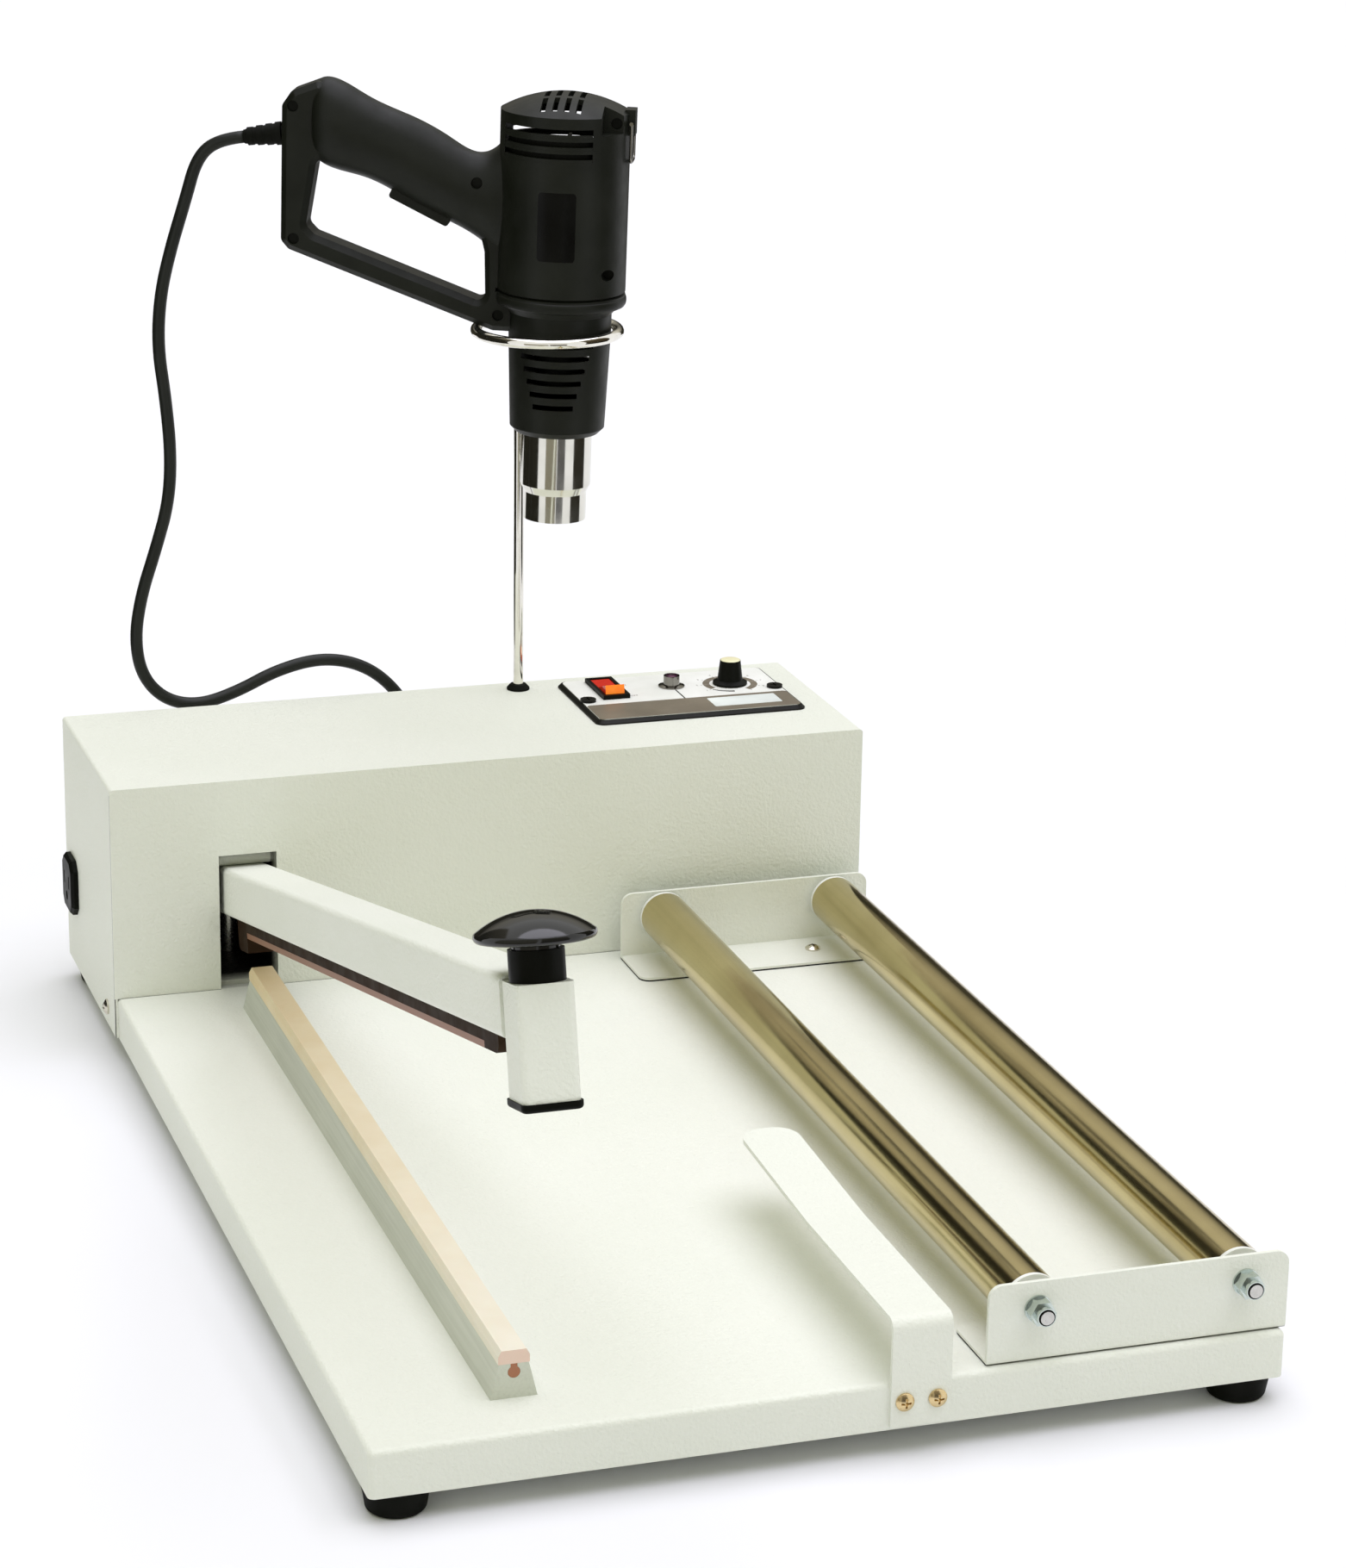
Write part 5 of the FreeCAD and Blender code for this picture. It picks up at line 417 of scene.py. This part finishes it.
FINISH = {
    "white_paint": PAINT, "rubber": RUBBER, "zinc": SCREWS, "aluminium": ALUMINIUM, "silicone": SILICONE,
    "steel": STEEL, "chrome": CHROME, "black_plastic": BLACK, "gloss_black": GLOSS, "white_print": LABEL,
    "orange_lens": ROCKER, "copper_tape": TAPE, "nichrome": NICHROME, "winding": WINDING, "board": BOARD,
    "cord": CORD, "nylon": NYLON,
}
SPECIAL = {
    "base_tray": HOUSING, "housing_cover": HOUSING, "back_panel": HOUSING, "roller_left": TUBE,
    "roller_right": TUBE, "axle_nuts": NUT, "panel_plate": PLATE, "panel_screws": PLATE, "jaw_rail": RAIL,
    "element_blocks": RAIL,
    "gun_shell_near": SHELL, "gun_shell_far": SHELL, "gun_collar": SHELL, "gun_trigger": SHELL,
    "gun_nozzle": NOZZLE, "gun_motor": INNER_STEEL, "pivot_bracket": PAINT_SHADED_INSIDE,
    "indicator_lamp": LAMP_CHROME, "gun_hook": LAMP_CHROME, "front_roller_bracket": PAINT_WITH_FOOT_SHADE,
    "rear_roller_bracket": PAINT_WITH_FOOT_SHADE,
}


def wear(item, made):
    item.data.materials.clear()
    item.data.materials.append(made)


for entry in frame["record"]["subparts"]:
    wear(NODES[entry["node"]], SPECIAL.get(entry["node"], FINISH[entry["material_slot"]]))


# Mesh tools

def piece(name, mesh, made, body):
    item = bpy.data.objects.new(name, mesh)
    scene.collection.objects.link(item)
    wear(item, made)
    if body:
        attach(item, body)
    return item


def filled(name, bm, smooth=False):
    mesh = bpy.data.meshes.new(name)
    bmesh.ops.recalc_face_normals(bm, faces=bm.faces)
    bm.to_mesh(mesh)
    bm.free()
    for face in mesh.polygons:
        face.use_smooth = smooth
    return mesh


def slab(name, loops, low, high):
    """Flat pieces between two heights, one for each outline of (x, y) in metres."""
    bm = bmesh.new()
    for loop in loops:
        lower = [bm.verts.new((x, y, low)) for x, y in loop]
        upper = [bm.verts.new((x, y, high)) for x, y in loop]
        bm.faces.new(lower[::-1])
        bm.faces.new(upper)
        for index in range(len(loop)):
            after = (index + 1) % len(loop)
            bm.faces.new((lower[index], lower[after], upper[after], upper[index]))
    return filled(name, bm)


def rounded(low_x, high_x, low_y, high_y, radius, steps=6):
    """A rectangle's outline with round corners."""
    corners = [(high_x - radius, high_y - radius, 0), (low_x + radius, high_y - radius, 90),
               (low_x + radius, low_y + radius, 180), (high_x - radius, low_y + radius, 270)]
    loop = []
    for x, y, start in corners:
        for step in range(steps + 1):
            angle = math.radians(start + 90 * step / steps)
            loop.append((x + radius * math.cos(angle), y + radius * math.sin(angle)))
    return loop


def arc_band(x, y, inner, outer, start, end, inner_end=None):
    """A band along an arc, in degrees, whose inner edge may drift to another radius."""
    steps = max(2, int(abs(end - start) / 4))
    inside, outside = [], []
    for step in range(steps + 1):
        share = step / steps
        angle = math.radians(start + (end - start) * share)
        near = inner + ((inner_end or inner) - inner) * share
        inside.append((x + near * math.cos(angle), y + near * math.sin(angle)))
        outside.append((x + outer * math.cos(angle), y + outer * math.sin(angle)))
    return inside[::-1] + outside if end > start else inside + outside[::-1]


def lathe(name, profile, x, y, steps=48):
    """A turned piece from (radius, z) points."""
    bm = bmesh.new()
    rings = []
    for radius, z in profile:
        if radius < 1e-7:
            rings.append([bm.verts.new((x, y, z))])
        else:
            rings.append([bm.verts.new((
                x + radius * math.cos(2 * math.pi * step / steps),
                y + radius * math.sin(2 * math.pi * step / steps),
                z,
            )) for step in range(steps)])
    for first, second in zip(rings, rings[1:]):
        for step in range(steps):
            after = (step + 1) % steps
            corners = [first[step % len(first)], first[after % len(first)]]
            corners += [second[after % len(second)], second[step % len(second)]]
            corners = list(dict.fromkeys(corners))
            if len(corners) > 2:
                bm.faces.new(corners)
    return filled(name, bm, True)


# Cord of the gun: the route's points, then the turns of the coil behind the machine

TIP = (-0.09659, 0.34755, 0.44755)
ROUTE = [
    TIP, (-0.10892, 0.35278, 0.44588), (-0.11994, 0.35615, 0.43628), (-0.12650, 0.35650, 0.41400),
    (-0.13450, 0.35620, 0.39000), (-0.14100, 0.35550, 0.36500), (-0.14300, 0.35500, 0.33800),
    (-0.13940, 0.35500, 0.31000), (-0.13720, 0.35500, 0.28000), (-0.13900, 0.35500, 0.25400),
    (-0.14650, 0.35500, 0.22900), (-0.15500, 0.35500, 0.20400), (-0.15900, 0.35500, 0.18000),
    (-0.15550, 0.35500, 0.15900), (-0.14300, 0.35500, 0.14500), (-0.12500, 0.35450, 0.14100),
    (-0.10400, 0.35450, 0.14700), (-0.08200, 0.35450, 0.15750), (-0.05700, 0.35500, 0.16250),
    (-0.03400, 0.35500, 0.15700), (-0.01600, 0.35600, 0.14200), (-0.00400, 0.35700, 0.12000),
    (0.00300, 0.35800, 0.09400), (0.00650, 0.35950, 0.06800), (0.00800, 0.36200, 0.04400),
    (0.01149, 0.36482, 0.02807), (0.01184, 0.37909, 0.01274), (0.01232, 0.39841, 0.00455),
    (0.01284, 0.41940, 0.00455),
]
CORD_RADIUS = 0.0033
COIL_MIDDLE = (0.0594, 0.4260, 0.00455)
COIL_INNER = 0.032
COIL_PITCH = 0.0072
COIL_TURNS = 2.0
COIL_CLIMB = 0.5
COIL_WHOLE = 4.25
COIL_STEPS = 16
COIL_END = (0.10139, 0.47168, 0.01175)


def coil_spot(turn):
    """A control point of the coil: two turns in, a climb, and two turns out on top."""
    late = turn - COIL_TURNS
    if late <= 0:
        radius = COIL_INNER - COIL_PITCH * late
    elif late >= COIL_CLIMB:
        radius = COIL_INNER + COIL_PITCH * (late - COIL_CLIMB)
    else:
        radius = COIL_INNER + COIL_PITCH * (late * late / COIL_CLIMB - late)
    share = min(max(late / COIL_CLIMB, 0.0), 1.0)
    rise = COIL_PITCH * share * share * (3 - 2 * share)
    radius /= (6 + 2 * math.cos(2 * math.pi / COIL_STEPS)) / 8
    angle = math.pi * (1 - 2 * turn)
    x, y, z = COIL_MIDDLE
    return x + radius * math.cos(angle), y + radius * math.sin(angle), z + rise


def spline_points(name, points, resolution=8):
    """The points of a smooth curve through a route's control points."""
    curve = bpy.data.curves.new(name, "CURVE")
    curve.dimensions = "3D"
    curve.resolution_u = resolution
    spline = curve.splines.new("NURBS")
    spline.points.add(len(points) - 1)
    for point, spot in zip(spline.points, points):
        point.co = (*spot, 1.0)
    spline.order_u = 3
    spline.use_endpoint_u = True
    holder = bpy.data.objects.new(name, curve)
    scene.collection.objects.link(holder)
    bpy.context.view_layer.update()
    mesh = bpy.data.meshes.new_from_object(holder)
    line = [vertex.co.copy() for vertex in mesh.vertices]
    bpy.data.objects.remove(holder)
    bpy.data.curves.remove(curve)
    bpy.data.meshes.remove(mesh)
    return line


def tube(name, line, radius, sides=14):
    """A round tube along a line, its sections carried along without twist."""
    bm = bmesh.new()
    rings = []
    side = None
    for index, spot in enumerate(line):
        ahead = (line[min(index + 1, len(line) - 1)] - line[max(index - 1, 0)]).normalized()
        if side is None:
            side = ahead.orthogonal().normalized()
        side = (side - ahead * side.dot(ahead)).normalized()
        other = ahead.cross(side)
        rings.append([bm.verts.new(spot + (
            side * math.cos(2 * math.pi * step / sides) + other * math.sin(2 * math.pi * step / sides)
        ) * radius) for step in range(sides)])
    for first, second in zip(rings, rings[1:]):
        for step in range(sides):
            after = (step + 1) % sides
            bm.faces.new((first[step], first[after], second[after], second[step]))
    bm.faces.new(rings[0][::-1])
    bm.faces.new(rings[-1])
    return filled(name, bm, True)


coil = [coil_spot(index / COIL_STEPS) for index in range(1, round(COIL_WHOLE * COIL_STEPS) + 1)]
cord_line = spline_points("cord_route", ROUTE + coil + [COIL_END])
cord = piece("gun_cord", tube("gun_cord", cord_line, CORD_RADIUS), CORD, None)
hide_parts("cord_hanging", "cord_coil")
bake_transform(cord)


# Print on the panel's face

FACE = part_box("panel_label")[1][2]
INK_TOP = FACE + 0.00006
label_low, label_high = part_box("panel_label")
EDGE = 0.0001
STRIP_BACK = 0.2784
STRIP_CORNER = 0.0022
BLANK_BOX = (0.1365, 0.1745, 0.2588, 0.2744)
BLANK_CORNER = 0.0008
BLANK_RISE = 0.00022
LINE = 0.0004
FIGURE = 0.0026


def printed(name, loops, made, top=INK_TOP):
    return piece(name, slab(name, loops, FACE - 0.00004, top), made, "base")


strip = rounded(label_low[0] + EDGE, label_high[0] - EDGE, label_low[1] + EDGE, STRIP_BACK, STRIP_CORNER)
printed("print_strip", [strip], TAUPE)
printed("blank_plate", [rounded(*BLANK_BOX, BLANK_CORNER)], BLANK, INK_TOP + BLANK_RISE)
lamp_low, lamp_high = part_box("indicator_lamp")
LAMP = ((lamp_low[0] + lamp_high[0]) / 2, (lamp_low[1] + lamp_high[1]) / 2)
printed("lamp_line", [[
    (LAMP[0] - LINE, STRIP_BACK), (LAMP[0] + LINE, STRIP_BACK),
    (LAMP[0] + LINE, lamp_low[1] - LINE), (LAMP[0] - LINE, lamp_low[1] - LINE),
]], INK)

dial_low, dial_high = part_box("timer_knob")
DIAL = ((dial_low[0] + dial_high[0]) / 2, (dial_low[1] + dial_high[1]) / 2)
DIAL_PARTS = 8
DIAL_FIRST = -62
DIAL_STEP = 34
DIAL_BAND = 32.6
BAND_INNER, BAND_OUTER = 0.0113, 0.0150
TICK_INNER, TICK_OUTER, TICK_HALF = 0.0155, 0.0166, 0.00022
FIGURE_CIRCLE = 0.0186
starts = [DIAL_FIRST + DIAL_STEP * step for step in range(DIAL_PARTS)]
bands = [arc_band(*DIAL, BAND_INNER, BAND_OUTER, start, start + DIAL_BAND) for start in starts]
printed("dial_ring", bands, TAUPE)
printed("dial_wedge", [arc_band(*DIAL, 0.0146, 0.0153, 213, 262, 0.0132)], INK)
ticks = []
for step in range(DIAL_PARTS + 1):
    angle = math.radians(DIAL_FIRST + DIAL_STEP * step)
    spoke = Vector((math.cos(angle), math.sin(angle)))
    across = Vector((-spoke.y, spoke.x)) * TICK_HALF
    near, far = Vector(DIAL) + spoke * TICK_INNER, Vector(DIAL) + spoke * TICK_OUTER
    ticks.append([tuple(near - across), tuple(far - across), tuple(far + across), tuple(near + across)])
printed("dial_ticks", ticks, GREY)


def figure(name, text, size, x, y, made):
    """A small printed figure, set flat on the panel's face."""
    curve = bpy.data.curves.new(name, "FONT")
    curve.body = text
    curve.size = size
    curve.align_x = "CENTER"
    curve.align_y = "CENTER"
    curve.extrude = 0.00005
    holder = bpy.data.objects.new(name, curve)
    scene.collection.objects.link(holder)
    bpy.context.view_layer.update()
    mesh = bpy.data.meshes.new_from_object(holder)
    mesh.name = name
    bpy.data.objects.remove(holder)
    bpy.data.curves.remove(curve)
    mesh.transform(Matrix.Translation((x, y, FACE + 0.00002)))
    return piece(name, mesh, made, "base")


for step in range(DIAL_PARTS):
    angle = math.radians(DIAL_FIRST + DIAL_STEP * (DIAL_PARTS - step))
    figure(f"dial_figure_{step + 1}", str(step + 1), FIGURE, DIAL[0] + FIGURE_CIRCLE * math.cos(angle),
           DIAL[1] + FIGURE_CIRCLE * math.sin(angle), GREY)
switch_low, switch_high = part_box("switch_bezel")
figure("switch_on", "ON", FIGURE, switch_high[0] + 0.0032, switch_high[1] - 0.0105, GREY)
figure("switch_off", "OFF", FIGURE, switch_high[0] + 0.0034, switch_low[1] + 0.0040, GREY)


# Knob cap, lamp lens and the insert rings of the lock nuts

KNOB_TOP = dial_high[2]
cap = [(0.0, 0.00045), (0.0028, 0.00047), (0.0048, 0.00041), (0.0053, 0.00023), (0.0055, -0.00015),
       (0.0055, -0.00050), (0.0, -0.00020)]
piece("knob_cap", lathe("knob_cap", [(radius, KNOB_TOP + rise) for radius, rise in cap], *DIAL),
      IVORY, "timer_knob")
LENS_FLOOR = lamp_high[2] - 0.0012
lens = [(0.0, 0.00075), (0.0012, 0.00068), (0.0024, 0.00045), (0.0033, 0.00010), (0.0035, -0.00010),
        (0.0, -0.00010)]
piece("lamp_lens", lathe("lamp_lens", [(radius, LENS_FLOOR + rise) for radius, rise in lens], *LAMP, 32),
      LENS, "base")


def nut_inserts():
    """A dark ring around the axle's end in each lock nut."""
    bm = bmesh.new()
    low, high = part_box("axle_nuts")
    inner, outer, lip = 0.00304, 0.00365, 0.00012
    for side in ("roller_left", "roller_right"):
        roller_low, roller_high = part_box(side)
        x = (roller_low[0] + roller_high[0]) / 2
        z = (roller_low[2] + roller_high[2]) / 2
        for end, out in ((low[1], -1), (high[1], 1)):
            ring = [(inner, -lip), (inner, lip), (outer, lip), (outer, -lip)]
            mesh = lathe("insert", ring + ring[:1], 0.0, 0.0, 32)
            mesh.transform(Matrix.Translation((x, end, z)) @ Matrix.Rotation(math.radians(90 * out), 4, "X"))
            bm.from_mesh(mesh)
            bpy.data.meshes.remove(mesh)
    return filled("nut_inserts", bm)


piece("nut_inserts", nut_inserts(), RUBBER, "base")


# Bare sticker on the barrel of the gun

GUN_PLACE = (0.0550, 0.2832, 0.35336)
GUN_TURN = -23.0
GUN_LEAN = 1.3
GUN = Matrix.Translation(GUN_PLACE) @ Matrix.Rotation(math.radians(GUN_TURN), 4, "Z")
GUN = GUN @ Matrix.Rotation(math.radians(GUN_LEAN), 4, "Y")
STICKER_ANGLES = (-16.5, 17.2)
STICKER_HEIGHTS = (0.0398, 0.0752)
STICKER_RADII = (0.03358, 0.0334)
STICKER_CORNER = 0.0016


def barrel_band(bm, angles, heights, radii, round_off=0.0, side=1):
    """A curved plate on the barrel's near or far side, between angles in degrees, heights and radii."""
    steps = 24
    turn = math.radians(angles[1] - angles[0])
    columns = []
    for index in range(steps + 1):
        angle = math.radians(angles[0]) + turn * index / steps
        edge = min(index, steps - index) / steps * turn * radii[0]
        cut = 0.0
        if edge < round_off:
            cut = round_off - math.sqrt(round_off ** 2 - (round_off - edge) ** 2)
        column = []
        for reach in radii:
            for z in (heights[0] + cut, heights[1] - cut):
                column.append(bm.verts.new((reach * math.sin(angle), -side * reach * math.cos(angle), z)))
        columns.append(column)
    for first, second in zip(columns, columns[1:]):
        for a, b in ((0, 1), (1, 3), (3, 2), (2, 0)):
            bm.faces.new((first[a], first[b], second[b], second[a]))
    for column in (columns[0], columns[-1]):
        bm.faces.new((column[0], column[1], column[3], column[2]))


def on_barrel(name, bm, made):
    mesh = filled(name, bm)
    mesh.transform(GUN)
    return piece(name, mesh, made, "gun")


sticker = bmesh.new()
barrel_band(sticker, STICKER_ANGLES, STICKER_HEIGHTS, STICKER_RADII, STICKER_CORNER)
on_barrel("gun_sticker", sticker, STICKER)

# Bead round the barrel's lower end, over the collar's shoulder

bead = [(0.0330, 0.0180), (0.0337, 0.0178), (0.0341, 0.0168), (0.0342, 0.0155), (0.0340, 0.0140),
        (0.0333, 0.0128), (0.0318, 0.0121), (0.0296, 0.0120), (0.0330, 0.0162)]
bead_mesh = lathe("barrel_bead", bead + bead[:1], 0.0, 0.0, 72)
bead_mesh.transform(GUN)
piece("barrel_bead", bead_mesh, SHELL, "gun")

# Sills in the barrel's vents, and the screen behind the lower vents on its near side

VENT_TOP = 0.1075
VENT_SLOT = 0.0046
VENT_PITCH = 0.0062
VENT_SILL = 0.0018
VENT_ANGLES = (-59.8, 31.0)
SILL_RADII = (0.03342, 0.0315)
SCREEN_ANGLES = (-64.0, 36.0)
SCREEN_HEIGHTS = (0.0880, 0.1024)
SCREEN_RADII = (0.0307, 0.0303)
sills = bmesh.new()
screen = bmesh.new()
for side in (1, -1):
    for index in range(3):
        foot = VENT_TOP - index * VENT_PITCH - VENT_SLOT
        barrel_band(sills, VENT_ANGLES, (foot, foot + VENT_SILL), SILL_RADII, side=side)
barrel_band(screen, SCREEN_ANGLES, SCREEN_HEIGHTS, SCREEN_RADII)
on_barrel("vent_sills", sills, SHELL)
on_barrel("vent_screen", screen, RUBBER)


# Studio: floor, world, lamps and reflectors

def studio_floor():
    bm = bmesh.new()
    bmesh.ops.create_grid(bm, x_segments=1, y_segments=1, size=6.0)
    mesh = filled("floor", bm)
    item = bpy.data.objects.new("floor", mesh)
    scene.collection.objects.link(item)
    made, tree, shader = material("floor_white")
    tree.links.new(
        tint(tree, noise(tree, 3.0), [(0.3, (0.86, 0.86, 0.91)), (0.7, (0.88, 0.88, 0.93))]),
        shader.inputs["Base Color"],
    )
    shader.inputs["Roughness"].default_value = 0.9
    shader.inputs["Specular IOR Level"].default_value = 0.1
    wear(item, made)


def studio_world():
    """Even pale light; the camera, metal and glass see plain white."""
    world = bpy.data.worlds.new("studio")
    scene.world = world
    world.use_nodes = True
    tree = world.node_tree
    tree.nodes.clear()
    paths = tree.nodes.new("ShaderNodeLightPath")
    direct = calculated(tree, "MAXIMUM", paths.outputs["Is Camera Ray"], paths.outputs["Is Glossy Ray"])
    direct = calculated(tree, "MAXIMUM", direct, paths.outputs["Is Transmission Ray"])
    lit = tree.nodes.new("ShaderNodeBackground")
    lit.inputs["Color"].default_value = (0.97, 1.0, 0.70, 1.0)
    lit.inputs["Strength"].default_value = 0.49
    seen = tree.nodes.new("ShaderNodeBackground")
    seen.inputs["Color"].default_value = (1.0, 1.0, 1.0, 1.0)
    seen.inputs["Strength"].default_value = 1.0
    mix = tree.nodes.new("ShaderNodeMixShader")
    tree.links.new(direct, mix.inputs["Fac"])
    tree.links.new(lit.outputs["Background"], mix.inputs[1])
    tree.links.new(seen.outputs["Background"], mix.inputs[2])
    output = tree.nodes.new("ShaderNodeOutputWorld")
    tree.links.new(mix.outputs["Shader"], output.inputs["Surface"])


def softbox(name, towards, strength, spread_angle, colour):
    """A wide even light from far off, whose light comes the same over the whole floor."""
    data = bpy.data.lights.new(name, "SUN")
    data.energy = strength
    data.angle = math.radians(spread_angle)
    data.color = colour
    item = bpy.data.objects.new(name, data)
    scene.collection.objects.link(item)
    item.rotation_euler = (-Vector(towards)).to_track_quat("-Z", "Y").to_euler()


def card(name, first, second, top, stops):
    """An upright reflector that only metal and gloss see, shaded from its foot to its head."""
    bm = bmesh.new()
    corners = [(*first, 0.0), (*second, 0.0), (*second, top), (*first, top)]
    bm.faces.new([bm.verts.new(corner) for corner in corners])
    item = bpy.data.objects.new(name, filled(name, bm))
    scene.collection.objects.link(item)
    made, tree, shader = material(name)
    share = spread(tree, axis_value(tree, "Z"), 0.0, 1.0, 0.0, top)
    shader.inputs["Base Color"].default_value = (0.0, 0.0, 0.0, 1.0)
    shader.inputs["Specular IOR Level"].default_value = 0.0
    tree.links.new(tint(tree, share, stops), shader.inputs["Emission Color"])
    shader.inputs["Emission Strength"].default_value = 1.0
    wear(item, made)
    item.visible_camera = False
    item.visible_diffuse = False
    item.visible_shadow = False
    item.visible_transmission = False


studio_floor()
studio_world()
softbox("overhead", (0.13, -0.02, 0.98), strength=2.55, spread_angle=70.0, colour=(0.878, 0.860, 1.0))
GLOOM = (0.020, 0.019, 0.014)
DUSK = (0.30, 0.27, 0.20)
card("back_card", (-1.7, 1.5), (1.7, 1.5), 1.5,
     [(0.0, (0.05, 0.045, 0.03)), (0.34, GLOOM), (0.62, (0.55, 0.52, 0.44)), (1.0, (0.85, 0.84, 0.80))])
card("left_card", (-0.68, 0.10), (-0.34, 0.95), 1.3, [(0.0, GLOOM), (0.5, GLOOM), (1.0, DUSK)])
card("right_card", (0.60, -0.32), (0.85, 0.26), 1.3, [(0.0, GLOOM), (0.5, (0.06, 0.045, 0.025)), (1.0, DUSK)])
card("front_card", (-0.16, -0.66), (0.26, -0.66), 0.5, [(0.0, (0.09, 0.09, 0.10)), (1.0, DUSK)])
card("side_card", (-0.66, -0.30), (-0.20, -0.66), 0.5, [(0.0, (0.24, 0.22, 0.16)), (1.0, (0.50, 0.48, 0.40))])

scene.view_settings.view_transform = "Standard"
